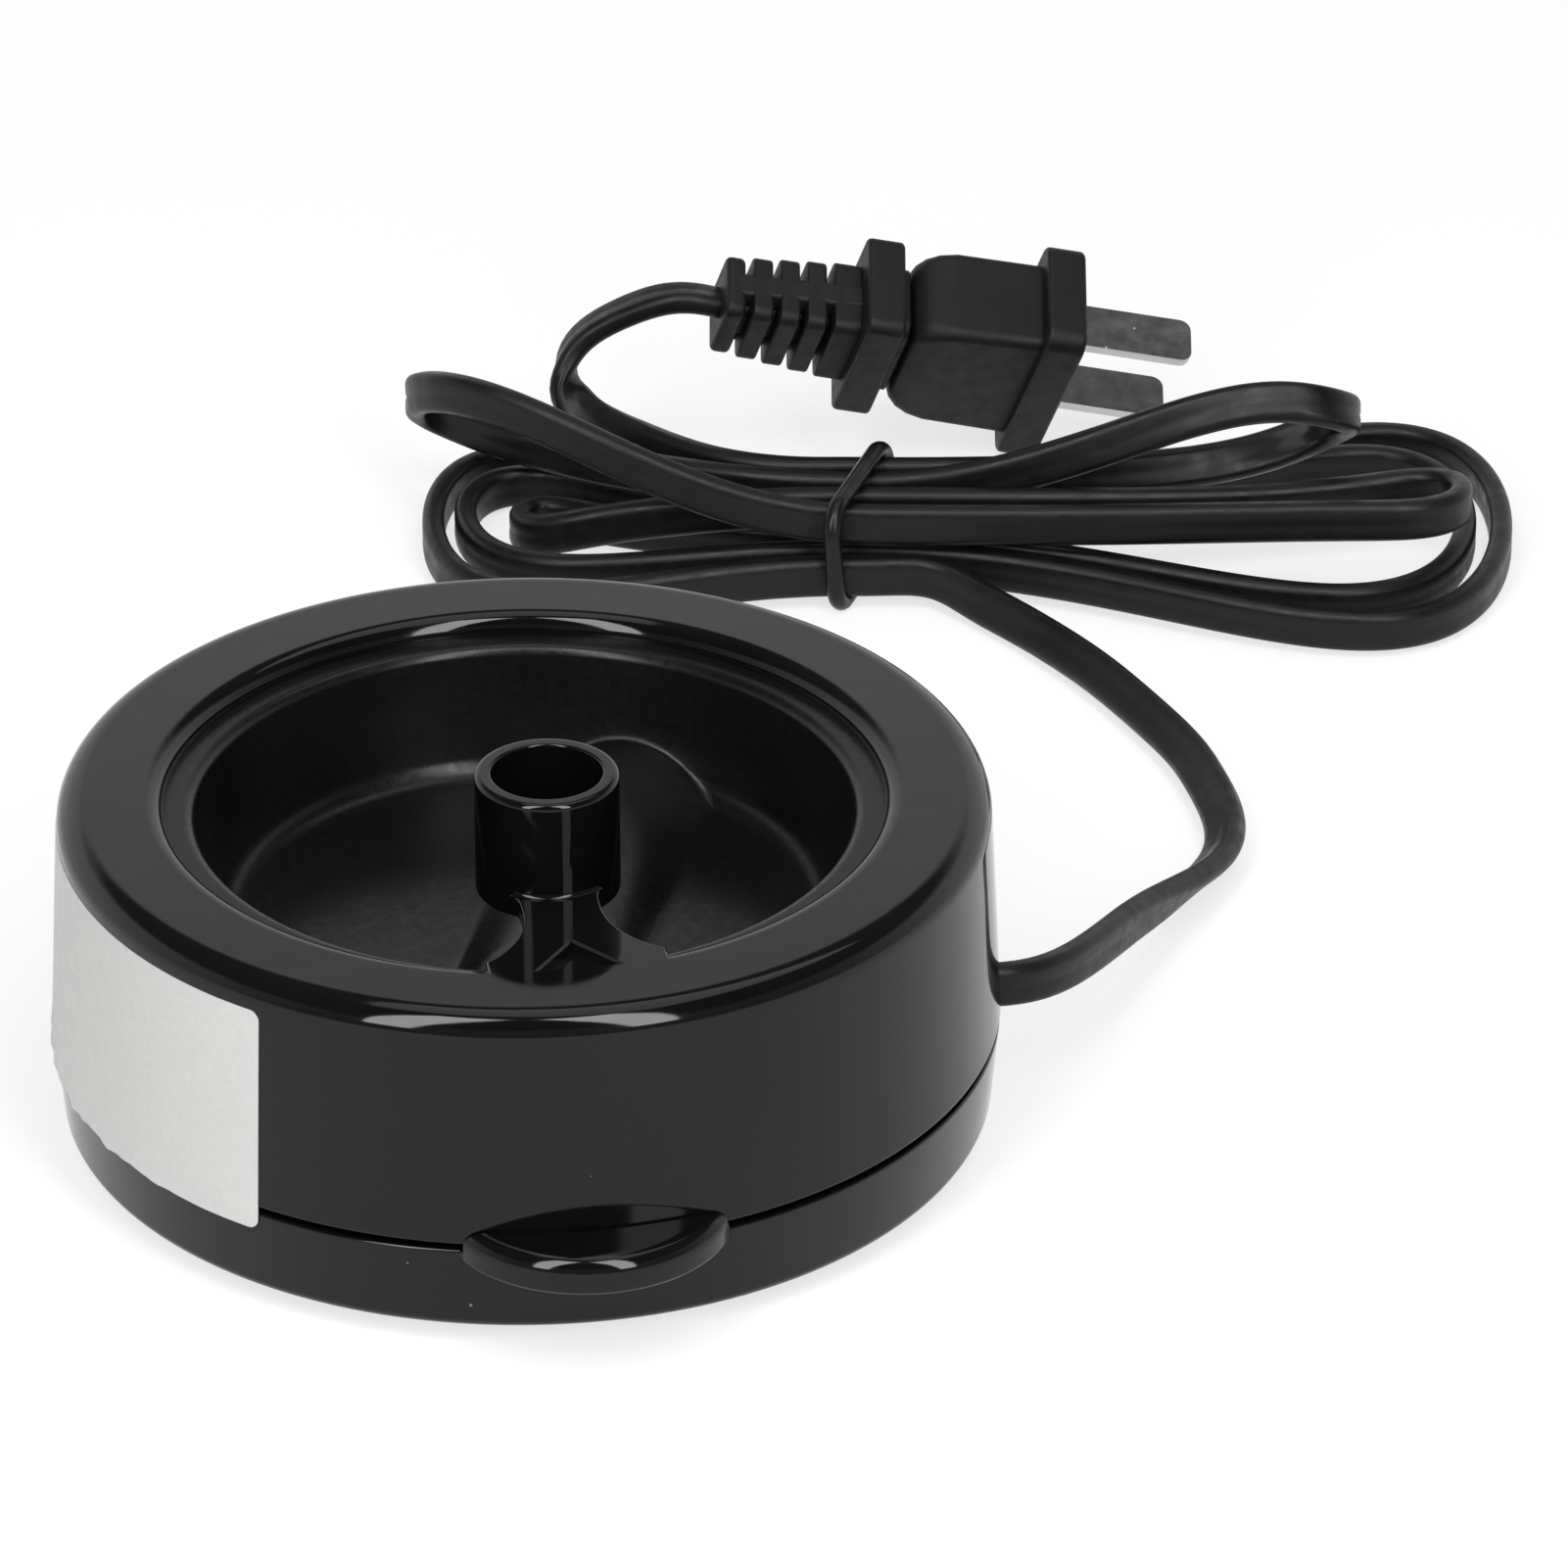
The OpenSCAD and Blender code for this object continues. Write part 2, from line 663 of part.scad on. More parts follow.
module melting_dish() {
    color("#232323") {
        difference() {
            union() {
                rotate_extrude() dish_profile();
                intersection() {
                    hump_solid(hump_r, hump_run);
                    rotate_extrude() dish_form(dish_t / 2, rim_z - dish_t);
                }
            }
            hump_hollow();
        }
        studs();
    }
}

module hump_hollow() {
    intersection() {
        hump_solid(hump_in_r, hollow_run);
        translate([0, 0, under_z - 1]) cylinder(r = dish_floor_r - dish_fillet, h = hump_h + dish_t + 1);
    }
}

module studs() {
    at_studs() translate([0, 0, under_z - stud_l]) cylinder(d = stud_d, h = stud_l + dish_t / 2);
}

module at_studs() {
    along_hump() for (s = [-1, 1]) translate([heater_u + s * stud_reach, heater_v, 0]) children();
}

module rim_gasket() {
    color("#c9c2b4") translate([0, 0, gasket_z]) linear_extrude(gasket_t) difference() {
        circle(flange_r);
        circle(gasket_in_r);
    }
}

module clamp_ring() {
    color("#b9bcbf") translate([0, 0, clamp_z]) linear_extrude(clamp_t) difference() {
        union() {
            circle(flange_r);
            around(boss_angles, boss_at) circle(boss_r);
            around(boss_angles, boss_at - boss_r) square([2 * boss_r, 2 * boss_r], center = true);
        }
        circle(gasket_in_r);
        around(boss_angles, boss_at) circle(d = small_screw_d + fit);
    }
}

module small_screw(grip) {
    translate([0, 0, -small_head_h]) cylinder(r = small_head_r, h = small_head_h);
    translate([0, 0, -eps]) cylinder(d = small_screw_d, h = grip);
}

module clamp_screws() {
    color("#cfd2d4") around(boss_angles, boss_at) translate([0, 0, clamp_z]) small_screw(boss_depth() - 0.4);
}

// Heater and its fittings

module heater() {
    color("#c3c6c8") along_hump() translate([heater_u, heater_v, heater_z + heater_t / 2])
        cube([heater_l, heater_w, heater_t], center = true);
}

module heater_bracket() {
    plate_l = 2 * stud_reach + 2 * stud_d + 2;
    arm_v = heater_v - bracket_w / 2;
    web_v = hump_w / 2 - 2;
    shelf_v = -sleeve_d / 2;
    color("#a9adb0") difference() {
        along_hump() {
            translate([heater_u - plate_l / 2, arm_v, bracket_z]) cube([plate_l, bracket_w, bracket_t]);
            translate([heater_u - arm_w / 2, web_v, bracket_z]) cube([arm_w, arm_v - web_v + eps, bracket_t]);
            translate([heater_u - arm_w / 2, web_v, bracket_z]) cube([arm_w, bracket_t, shelf_z - bracket_z]);
            translate([heater_u - arm_w / 2, shelf_v, shelf_z - bracket_t])
                cube([arm_w, web_v - shelf_v + eps, bracket_t]);
        }
        at_studs() translate([0, 0, bracket_z - 1]) cylinder(d = stud_d + fit, h = bracket_t + 2);
    }
}

module bracket_nuts() {
    color("#cfd2d4") at_studs() translate([0, 0, bracket_z - nut_h]) difference() {
        cylinder(d = 1.9 * stud_d, h = nut_h, $fn = 6);
        translate([0, 0, -1]) cylinder(d = stud_d + 2 * thread_fit, h = nut_h + 2);
    }
}

module at_sleeve() {
    along_hump() translate([sleeve_u, 0, sleeve_z]) rotate([0, 90, 0]) children();
}

module fuse_sleeve() {
    color("#e8e4d8") at_sleeve() difference() {
        cylinder(d = sleeve_d, h = sleeve_l, center = true);
        cylinder(d = sleeve_bore, h = sleeve_l + 1, center = true);
    }
}

module thermal_fuse() {
    color("#d9d2c0") at_sleeve() {
        cylinder(d = fuse_d, h = fuse_l, center = true);
        cylinder(d = fuse_pin_d, h = sleeve_l - 4, center = true);
    }
}

module heat_shield() {
    color("#b4b7b9") translate([0, 0, shield_z]) linear_extrude(shield_t) difference() {
        circle(d = shield_d);
        around(shield_angles(), shield_at()) circle(1.5 + fit);
    }
}

// Inner wiring

function along(p) = turned(p, 90 - hump_turn) + [hump_start[0], hump_start[1], 0];
function along_dir(p) = turned(p, 90 - hump_turn);
function fuse_end(s) = along([sleeve_u + s * (sleeve_l / 2 - 2), 0, sleeve_z]);
function terminal(i) = along([terminal_u[i], heater_v - heater_w / 2, heater_z + heater_t / 2]);
function connector_end(x, s) = cord_frame(x, s * connector_y, connector_z);

module lead(path, d) {
    swept(path, steady(path, [0, 0, 1]), round_section(d, 8));
}

module live_lead() {
    color("#6b3a22") lead(bend(
        connector_end(connector_x, 1), cord_frame(-lead_pull, 0, 0),
        fuse_end(1), along_dir([-fuse_pull, 0, 0]), 14), lead_d);
}

module link_lead() {
    color("#d8d2c4") lead(bend(
        fuse_end(-1), along_dir([-link_pull, 0, 0]),
        terminal(0), along_dir([0, link_end_pull, 0]), 12), lead_d);
}

module neutral_lead() {
    color("#2f5f9e") lead(bend(
        connector_end(connector_x, -1), cord_frame(-lead_pull, 0, 0),
        terminal(1), along_dir([0, neutral_end_pull[0], neutral_end_pull[1]]), 14), lead_d);
}

module connectors() {
    color("#d6d6d0") cord_turned() for (s = [-1, 1])
        translate([connector_x, s * connector_y, connector_z]) rotate([0, 90, 0])
            cylinder(d = connector_d, h = connector_l);
}

module cord_cores() {
    color("#8a5a3c") for (s = [-1, 1]) lead(bend(
        cord_frame(cord_start_x, 0, cord_z + s * cord_w / 4), cord_frame(-core_pull, 0, 0),
        connector_end(connector_x + connector_l, s), cord_frame(-core_pull, 0, 0), 6), core_d);
}

module cord_clamp() {
    color("#2a2a2a") cord_turned() translate([clamp_x, 0, cord_z + cord_w / 2]) difference() {
        union() {
            cube_l = 2 * clamp_post_y;
            translate([-clamp_w / 2, -cube_l / 2, 0]) cube([clamp_w, cube_l, clamp_bar_t]);
            for (s = [-1, 1]) translate([0, s * clamp_post_y, 0]) cylinder(d = clamp_w, h = clamp_bar_t);
        }
        for (s = [-1, 1]) translate([0, s * clamp_post_y, -1]) cylinder(d = small_screw_d + fit, h = clamp_bar_t + 2);
    }
}

module cord_clamp_screws() {
    color("#cfd2d4") cord_turned() for (s = [-1, 1])
        translate([clamp_x, s * clamp_post_y, cord_z + cord_w / 2 + clamp_bar_t]) mirror([0, 0, 1])
            small_screw(clamp_bar_t + 6);
}

module base_screws() {
    color("#cfd2d4") around(pillar_angles, pillar_at) {
        translate([0, 0, screw_seat_z() - screw_head_h]) cylinder(d = screw_head_d, h = screw_head_h);
        translate([0, 0, screw_seat_z() - eps]) cylinder(d = screw_d, h = screw_l);
    }
}

// Blank label, bent round the wall

module label() {
    function wall_r(z) = shell_r - shell_lean * (z - shell_z) / (shell_h - edge_r) + 0.02;
    high = label_low_z + label_h;
    sweep = label_w / shell_r * 180 / PI;
    color("#d8d8d6") rotate([0, 0, -90 - label_edge - sweep]) rotate_extrude(angle = sweep) polygon([
        [wall_r(label_low_z), label_low_z], [wall_r(label_low_z) + label_t, label_low_z],
        [wall_r(high) + label_t, high], [wall_r(high), high]
    ]);
}

// Cord, tie and plug

module cord_lead() {
    color("#161616") swept(lead_path, steady(lead_path, [0, 0, 1]), flat_section());
}

module cord_hank() {
    color("#161616") swept(hank_path, hank_ups, lean_section());
}

module cord_tail() {
    color("#161616") swept(tail_path, tail_ups, flat_section());
}

module round_box(w, h, r) {
    for (s = [-1, 1]) for (t = [-1, 1]) translate([s * (w / 2 - r), t * (h / 2 - r)]) circle(r, $fn = 48);
    square([w, h - 2 * r], center = true);
    square([w - 2 * r, h], center = true);
}

module cord_tie() {
    w = 2 * (cord_t / 2 + tie_room - slots[0][0]);
    h = high_z - low_z + cord_w + 2 * tie_room;
    mid_z = (low_z + high_z) / 2;
    color("#101010") translate([hank_at[0], hank_at[1], mid_z]) rotate([0, 0, hank_turn])
        rotate([90, 0, 90]) linear_extrude(tie_w, center = true) difference() {
            round_box(w + 2 * tie_t, h + 2 * tie_t, 3);
            round_box(w, h, 3 - tie_t);
        }
}

module plug_placed() {
    translate(plug_at) rotate([plug_roll, plug_pitch, plug_turn]) rotate([90, 0, 90]) children();
}

module plug_slab(x, t, w, h, r) {
    translate([0, 0, x]) linear_extrude(t) round_box(w, h, r);
}

module plug_body() {
    collar_x = relief_l - plug_l;
    body_x = collar_x + collar_t + groove_t;
    ribs = 5;
    rib_step = relief_l / ribs;
    color("#191919") plug_placed() {
        plug_slab(-front_t, front_t, plug_t, plug_w, 3);
        hull() {
            plug_slab(body_x, eps, 0.88 * plug_t, 0.6 * plug_w, 3);
            plug_slab(-front_t - eps, eps, 0.88 * plug_t, 0.76 * plug_w, 3);
        }
        plug_slab(collar_x + collar_t - eps, groove_t + 2 * eps, 0.76 * plug_t, 0.46 * plug_w, 2.5);
        plug_slab(collar_x, collar_t, 0.97 * plug_t, 0.74 * plug_w, 3);
        plug_slab(-plug_l, relief_l + eps, 0.2 * plug_t, 0.35 * plug_w, 1);
        for (i = [0:ribs - 1])
            plug_slab(-plug_l + i * rib_step, 0.6 * rib_step,
                plug_t * mix(0.56, 0.76, i / (ribs - 1)), plug_w * mix(0.36, 0.44, i / (ribs - 1)), 2);
    }
}

module plug_blades() {
    color("#c9ccce") plug_placed() for (s = [-1, 1]) translate([0, s * blade_gap / 2, 0])
        intersection() {
            translate([0, 0, blade_l / 2]) cube([blade_w, blade_t, blade_l], center = true);
            rotate([90, 0, 0]) linear_extrude(blade_t + 1, center = true) {
                translate([-blade_w / 2, 0]) square([blade_w, blade_l - blade_w / 3]);
                translate([0, blade_l - blade_w / 2 - 0.2]) scale(1) circle(blade_w / 2 + 0.2);
            }
        }
}

translate([0, tab_reach / 2, 0]) {
    upper_shell();
    base_shell();
    melting_dish();
    rim_gasket();
    clamp_ring();
    clamp_screws();
    heater();
    heater_bracket();
    bracket_nuts();
    fuse_sleeve();
    thermal_fuse();
    heat_shield();
    live_lead();
    link_lead();
    neutral_lead();
    connectors();
    cord_cores();
    cord_clamp();
    cord_clamp_screws();
    base_screws();
    foot(0);  // foot_front_left
    foot(1);  // foot_front_right
    foot(2);  // foot_rear_left
    foot(3);  // foot_rear_right
    label();
    cord_lead();
    cord_hank();
    cord_tail();
    cord_tie();
    plug_body();
    plug_blades();
}
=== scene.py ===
"""Round black melting pot with a tool tube, a front tab, a blank label and a hanked flat mains cord."""
import json
import math

import bmesh
import bpy
from mathutils import Matrix, Vector


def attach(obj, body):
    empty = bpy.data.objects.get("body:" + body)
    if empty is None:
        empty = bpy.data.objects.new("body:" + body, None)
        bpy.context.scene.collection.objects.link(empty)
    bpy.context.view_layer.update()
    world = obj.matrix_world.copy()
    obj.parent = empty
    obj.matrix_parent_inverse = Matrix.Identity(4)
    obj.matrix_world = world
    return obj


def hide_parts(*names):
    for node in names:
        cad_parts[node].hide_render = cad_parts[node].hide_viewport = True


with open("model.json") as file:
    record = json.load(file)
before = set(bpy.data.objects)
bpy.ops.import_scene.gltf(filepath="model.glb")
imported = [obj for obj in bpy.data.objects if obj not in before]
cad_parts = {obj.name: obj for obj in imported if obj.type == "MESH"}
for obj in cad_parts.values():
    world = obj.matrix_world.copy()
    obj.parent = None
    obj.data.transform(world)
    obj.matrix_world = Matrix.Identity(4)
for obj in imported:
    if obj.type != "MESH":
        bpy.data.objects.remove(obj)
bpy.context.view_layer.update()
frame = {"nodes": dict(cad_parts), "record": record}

# Shapes are drawn in millimetres and degrees round the body axis, which stands behind the frame's origin
MM = 0.001
TAB_REACH = 7.2
AXIS_Y = TAB_REACH / 2

# Steps of a full turn on the large mouldings
FINE_STEPS = 192
# Short flats beside the roundings of a profile keep its shading even
HOLD = 0.2
# Change in the radius of a leaning wall over such a flat
LEAN_TRACE = 0.02
# How far a cut runs past the faces that it opens
CUT_PAST = 1.0
# Points nearer than this are one point, and heights nearer than this are one height
SAME_SPOT = 1e-4
SAME_HEIGHT = 1e-5
# How strongly large faces set the shading of the roundings beside them, where 50 favours none
SHADING_WEIGHT = 60

# Body
SHELL_R = 54.0
SHELL_TOP_R = 52.8
SHELL_Z = 13.3
TOP_Z = 41.2
RIM_Z = 39.0
WALL = 2.4
SHOULDER_R = 3.0
RING_IN_R = 40.6
RING_EDGE_R = 2.1
TUBE_Y = -18.0
TUBE_R = 8.1
TUBE_BORE_R = 6.2
TUBE_TOP_Z = 52.8
TUBE_LOW_Z = 38.4
BASE_Z = 2.0
BASE_FLOOR_Z = 4.4
BASE_R = 53.9
BASE_LOW_R = 53.1
SEAM_Z = 12.5
CORD_TURN = -5.0
CORD_Z = 12.95
CORD_W = 5.2
CORD_T = 2.8


# Making and joining shapes
def arc(centre, radius, start, end, count):
    """Points of an arc in a flat profile, with both ends, angles in degrees."""
    turns = [math.radians(start + (end - start) * k / count) for k in range(count + 1)]
    return [(centre[0] + radius * math.cos(a), centre[1] + radius * math.sin(a)) for a in turns]


def corner_arcs(half_x, half_y, radius, count):
    """The four corners of a rounded rectangle, one list of points each."""
    signs = ((1, 1), (-1, 1), (-1, -1), (1, -1))
    return [
        arc((sx * (half_x - radius), sy * (half_y - radius)), radius, 90 * k, 90 * k + 90, count)
        for k, (sx, sy) in enumerate(signs)]


def rounded_outline(half_x, half_y, radius, count):
    """All the points of a rounded rectangle."""
    return [spot for corner in corner_arcs(half_x, half_y, radius, count) for spot in corner]


def new_object(name, bm):
    """Turn a bmesh into an object at the origin and link it."""
    mesh = bpy.data.meshes.new(name)
    bm.to_mesh(mesh)
    bm.free()
    obj = bpy.data.objects.new(name, mesh)
    bpy.context.scene.collection.objects.link(obj)
    return obj


def moved(bm, offset):
    bmesh.ops.translate(bm, vec=offset, verts=bm.verts)
    return bm


def swung(bm, degrees):
    """Turn a shape about the body axis."""
    turn = Matrix.Rotation(math.radians(degrees), 3, "Z")
    bmesh.ops.rotate(bm, cent=(0, 0, 0), matrix=turn, verts=bm.verts)
    return bm


def soften(bm, geom, offset, segments, affect="EDGES", clamp=False):
    """Round off edges, or corners of a flat sheet."""
    bmesh.ops.bevel(
        bm, geom=geom, offset=offset, offset_type="OFFSET", affect=affect, segments=segments,
        profile=0.5, material=-1, clamp_overlap=clamp)


def raised(bm, faces, height):
    """Extrude faces upwards and give back the points that moved."""
    made = bmesh.ops.extrude_face_region(bm, geom=faces)["geom"]
    top = [g for g in made if isinstance(g, bmesh.types.BMVert)]
    bmesh.ops.translate(bm, vec=(0, 0, height), verts=top)
    return top


def spun(profile, closed=True, steps=FINE_STEPS, angle=360.0):
    """Spin a profile of (radius, height) points round the Z axis."""
    bm = bmesh.new()
    verts = [bm.verts.new((r, 0.0, z)) for r, z in profile]
    edges = [bm.edges.new(pair) for pair in zip(verts, verts[1:])]
    if closed:
        edges.append(bm.edges.new((verts[-1], verts[0])))
    bmesh.ops.spin(
        bm, geom=verts + edges, cent=(0, 0, 0), axis=(0, 0, 1), dvec=(0, 0, 0),
        angle=math.radians(angle), steps=steps, use_merge=angle == 360.0,
        use_normal_flip=False, use_duplicate=False)
    bmesh.ops.remove_doubles(bm, verts=bm.verts, dist=SAME_SPOT)
    bmesh.ops.recalc_face_normals(bm, faces=bm.faces)
    return bm


def prism(outline, low, high, top_edge=0.0):
    """Extrude a flat outline between two heights, with a rounded top edge where one is given."""
    bm = bmesh.new()
    face = bm.faces.new([bm.verts.new((x, y, low)) for x, y in outline])
    raised(bm, [face], high - low)
    bmesh.ops.recalc_face_normals(bm, faces=bm.faces)
    if top_edge:
        rim = [e for e in bm.edges if all(v.co.z > high - SAME_HEIGHT for v in e.verts)]
        soften(bm, rim, top_edge, 3, clamp=True)
    return bm


def post(radius, low, high, steps=48):
    """A plain round post for a cut or a join."""
    bm = bmesh.new()
    bmesh.ops.create_cone(
        bm, cap_ends=True, segments=steps, radius1=radius, radius2=radius, depth=high - low)
    return moved(bm, (0, 0, (low + high) / 2))


def rounded_sheet(wide, high, corner, segments):
    """A flat sheet round the origin with rounded corners."""
    bm = bmesh.new()
    bmesh.ops.create_grid(bm, x_segments=1, y_segments=1, size=0.5)
    bmesh.ops.scale(bm, vec=(wide, high, 1.0), verts=bm.verts)
    soften(bm, bm.verts[:], corner, segments, affect="VERTICES")
    return bm


def added(bm, other):
    """Take another bmesh's shape into this one."""
    mesh = bpy.data.meshes.new("passing")
    other.to_mesh(mesh)
    other.free()
    bm.from_mesh(mesh)
    bpy.data.meshes.remove(mesh)
    return bm


def combined(bm, operation, *others):
    """Join or cut solids one after another and give back the new shape."""
    body = new_object("working_body", bm)
    for other in others:
        tool = new_object("working_tool", other)
        step = body.modifiers.new("step", "BOOLEAN")
        step.operation = operation
        step.solver = "EXACT"
        step.object = tool
        bpy.context.view_layer.update()
        depsgraph = bpy.context.evaluated_depsgraph_get()
        shaped = bpy.data.meshes.new_from_object(body.evaluated_get(depsgraph))
        body.modifiers.clear()
        old = (body.data, tool.data)
        body.data = shaped
        bpy.data.objects.remove(tool)
        for mesh in old:
            bpy.data.meshes.remove(mesh)
    out = bmesh.new()
    out.from_mesh(body.data)
    mesh = body.data
    bpy.data.objects.remove(body)
    bpy.data.meshes.remove(mesh)
    return out


def finished(name, bm, material, nodes, crease=32.0):
    """Place a millimetre shape in the frame, shade it and let it stand for its CAD nodes."""
    bmesh.ops.scale(bm, vec=(MM, MM, MM), verts=bm.verts)
    bmesh.ops.translate(bm, vec=(0, AXIS_Y * MM, 0), verts=bm.verts)
    obj = new_object(name, bm)
    obj.data.shade_smooth()
    obj.data.set_sharp_from_angle(angle=math.radians(crease))
    even = obj.modifiers.new("even_shading", "WEIGHTED_NORMAL")
    even.keep_sharp = True
    even.weight = SHADING_WEIGHT
    obj.data.materials.append(material)
    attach(obj, "root")
    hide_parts(*nodes)
    return obj


# Camera at the photograph's viewpoint: metres from the body axis, and degrees
CAMERA_AT = (-0.1434, -1.0202, 0.6083)
CAMERA_TILT = 61.17
CAMERA_TURN = -9.63
CAMERA_LENS = 239.4
CAMERA_SENSOR = 36.0
CAMERA_CLIP = 0.05


def add_camera():
    data = bpy.data.cameras.new("photo_camera")
    data.sensor_width = CAMERA_SENSOR
    data.lens = CAMERA_LENS
    data.clip_start = CAMERA_CLIP
    camera = bpy.data.objects.new("photo_camera", data)
    x, y, z = CAMERA_AT
    camera.location = (x, y + AXIS_Y * MM, z)
    camera.rotation_euler = (math.radians(CAMERA_TILT), 0.0, math.radians(CAMERA_TURN))
    bpy.context.scene.collection.objects.link(camera)
    bpy.context.scene.camera = camera


# Nodes of the finishes, the floor and the world
def reckoned(tree, operation, first, second):
    """Result of a maths node on two sources; the second may be a plain number."""
    made = tree.nodes.new("ShaderNodeMath")
    made.operation = operation
    tree.links.new(first, made.inputs[0])
    if isinstance(second, float):
        made.inputs[1].default_value = second
    else:
        tree.links.new(second, made.inputs[1])
    return made.outputs[0]


def ranged(tree, source, low, high, start, end):
    """Carry a source over from the range start to end to the range low to high."""
    made = tree.nodes.new("ShaderNodeMapRange")
    made.inputs["From Min"].default_value = start
    made.inputs["From Max"].default_value = end
    made.inputs["To Min"].default_value = low
    made.inputs["To Max"].default_value = high
    tree.links.new(source, made.inputs["Value"])
    return made.outputs["Result"]


class Finish:
    """A material with one Principled shader and small helpers for its pattern."""

    def __init__(self, name, roughness, metallic=0.0, specular=0.5):
        self.material = bpy.data.materials.new(name)
        self.material.use_nodes = True
        self.tree = self.material.node_tree
        self.shader = self.tree.nodes["Principled BSDF"]
        self.shader.inputs["Roughness"].default_value = roughness
        self.shader.inputs["Metallic"].default_value = metallic
        self.shader.inputs["Specular IOR Level"].default_value = specular
        self.place = self.tree.nodes.new("ShaderNodeTexCoord").outputs["Object"]

    def link(self, source, target):
        self.tree.links.new(source, target)

    def noise(self, scale, detail=3.0, rough=0.5):
        made = self.tree.nodes.new("ShaderNodeTexNoise")
        made.inputs["Scale"].default_value = scale
        made.inputs["Detail"].default_value = detail
        made.inputs["Roughness"].default_value = rough
        self.link(self.place, made.inputs["Vector"])
        return made.outputs["Fac"]

    def attribute(self, name):
        made = self.tree.nodes.new("ShaderNodeAttribute")
        made.attribute_name = name
        return made.outputs["Fac"]

    def tint(self, source, dark, light, start=0.3, end=0.7):
        """Colour that goes from dark to light with a pattern."""
        made = self.tree.nodes.new("ShaderNodeValToRGB")
        first, last = made.color_ramp.elements
        first.position = start
        first.color = (*dark, 1.0)
        last.position = end
        last.color = (*light, 1.0)
        self.link(source, made.inputs["Fac"])
        return made.outputs["Color"]

    def span(self, source, low, high, start=0.3, end=0.7):
        return ranged(self.tree, source, low, high, start, end)

    def mixed(self, factor, tint, colour):
        """A pattern's tint that turns to a plain colour where the factor is one."""
        made = self.tree.nodes.new("ShaderNodeMix")
        made.data_type = "RGBA"
        self.link(factor, made.inputs["Factor"])
        self.link(tint, made.inputs[6])
        made.inputs[7].default_value = (*colour, 1.0)
        return made.outputs[2]

    def specks(self, cells, size, share):
        """Sparse small dots: near a cell's point, and only in some of the cells."""
        made = self.tree.nodes.new("ShaderNodeTexVoronoi")
        made.feature = "F1"
        made.inputs["Scale"].default_value = cells
        self.link(self.place, made.inputs["Vector"])
        near = self.span(made.outputs["Distance"], 1.0, 0.0, size * 0.5, size)
        split = self.tree.nodes.new("ShaderNodeSeparateColor")
        self.link(made.outputs["Color"], split.inputs["Color"])
        chosen = self.span(split.outputs["Red"], 0.0, 1.0, 1.0 - share, 1.0 - share + 0.001)
        return reckoned(self.tree, "MULTIPLY", near, chosen)

    def colour(self, source):
        self.link(source, self.shader.inputs["Base Color"])

    def roughness(self, source):
        self.link(source, self.shader.inputs["Roughness"])

    def bump(self, height, depth, strength):
        made = self.tree.nodes.new("ShaderNodeBump")
        made.inputs["Distance"].default_value = depth
        made.inputs["Strength"].default_value = strength
        self.link(height, made.inputs["Height"])
        self.link(made.outputs["Normal"], self.shader.inputs["Normal"])


def gloss_black():
    finish = Finish("gloss_black_moulding", 0.1, specular=0.3)
    tint = finish.tint(finish.noise(45.0), (0.0022, 0.0022, 0.0024), (0.0036, 0.0036, 0.0039))
    dust = finish.specks(cells=150.0, size=0.035, share=0.12)
    finish.colour(finish.mixed(dust, tint, (0.13, 0.13, 0.13)))
    finish.roughness(finish.span(finish.noise(240.0, 4.0), 0.05, 0.095))
    finish.bump(finish.noise(160.0, 1.0), depth=0.00002, strength=0.5)
    return finish.material


def satin_dish():
    finish = Finish("satin_dish_coat", 0.3, specular=0.26)
    tint = finish.tint(finish.noise(60.0), (0.0026, 0.0026, 0.0028), (0.0044, 0.0044, 0.0046))
    dust = finish.specks(cells=140.0, size=0.03, share=0.15)
    finish.colour(finish.mixed(dust, tint, (0.14, 0.14, 0.14)))
    finish.roughness(finish.span(finish.noise(900.0, 4.0), 0.24, 0.34))
    finish.bump(finish.noise(2600.0, 2.0), depth=0.00002, strength=0.2)
    return finish.material


def label_film():
    finish = Finish("blank_label_film", 0.5, specular=0.35)
    fibre = finish.noise(1200.0, 5.0, 0.6)
    tint = finish.tint(fibre, (0.46, 0.46, 0.453), (0.51, 0.51, 0.502), start=0.25, end=0.75)
    cloud = finish.span(finish.noise(30.0), 0.0, 0.18)
    finish.colour(finish.mixed(cloud, tint, (0.42, 0.42, 0.414)))
    finish.roughness(finish.span(finish.noise(400.0), 0.42, 0.58))
    finish.bump(finish.noise(70.0, 2.0), depth=0.0002, strength=0.35)
    return finish.material


def soft_black(name, grain, roughness):
    """Black plastic of the cord, the plug and the tie, each with its own grain and gloss."""
    finish = Finish(name, roughness, specular=0.26)
    tint = finish.tint(finish.noise(90.0), (0.003, 0.003, 0.0032), (0.0052, 0.0052, 0.0055))
    dust = finish.specks(cells=190.0, size=0.05, share=0.1)
    finish.colour(finish.mixed(dust, tint, (0.13, 0.13, 0.13)))
    finish.roughness(finish.span(finish.noise(500.0, 4.0), roughness - 0.07, roughness + 0.09))
    finish.bump(finish.noise(grain, 3.0), depth=0.00003, strength=0.2)
    return finish.material


def plated_metal():
    """Dull plating of the blades, with a painted highlight on their thin sides and small worn specks."""
    finish = Finish("plated_blades", 0.34, metallic=1.0)
    mottle = finish.noise(420.0, 5.0, 0.6)
    tint = finish.tint(mottle, (0.09, 0.09, 0.092), (0.17, 0.17, 0.173))
    # Painted highlight: the thin sides of the blades are painted much lighter than their faces
    tint = finish.mixed(finish.attribute("painted_edge_highlight"), tint, (0.55, 0.55, 0.555))
    wear = finish.specks(cells=700.0, size=0.16, share=0.12)
    finish.colour(finish.mixed(wear, tint, (0.75, 0.75, 0.75)))
    finish.roughness(finish.span(mottle, 0.28, 0.42))
    finish.bump(finish.noise(1500.0, 3.0), depth=0.00001, strength=0.4)
    return finish.material


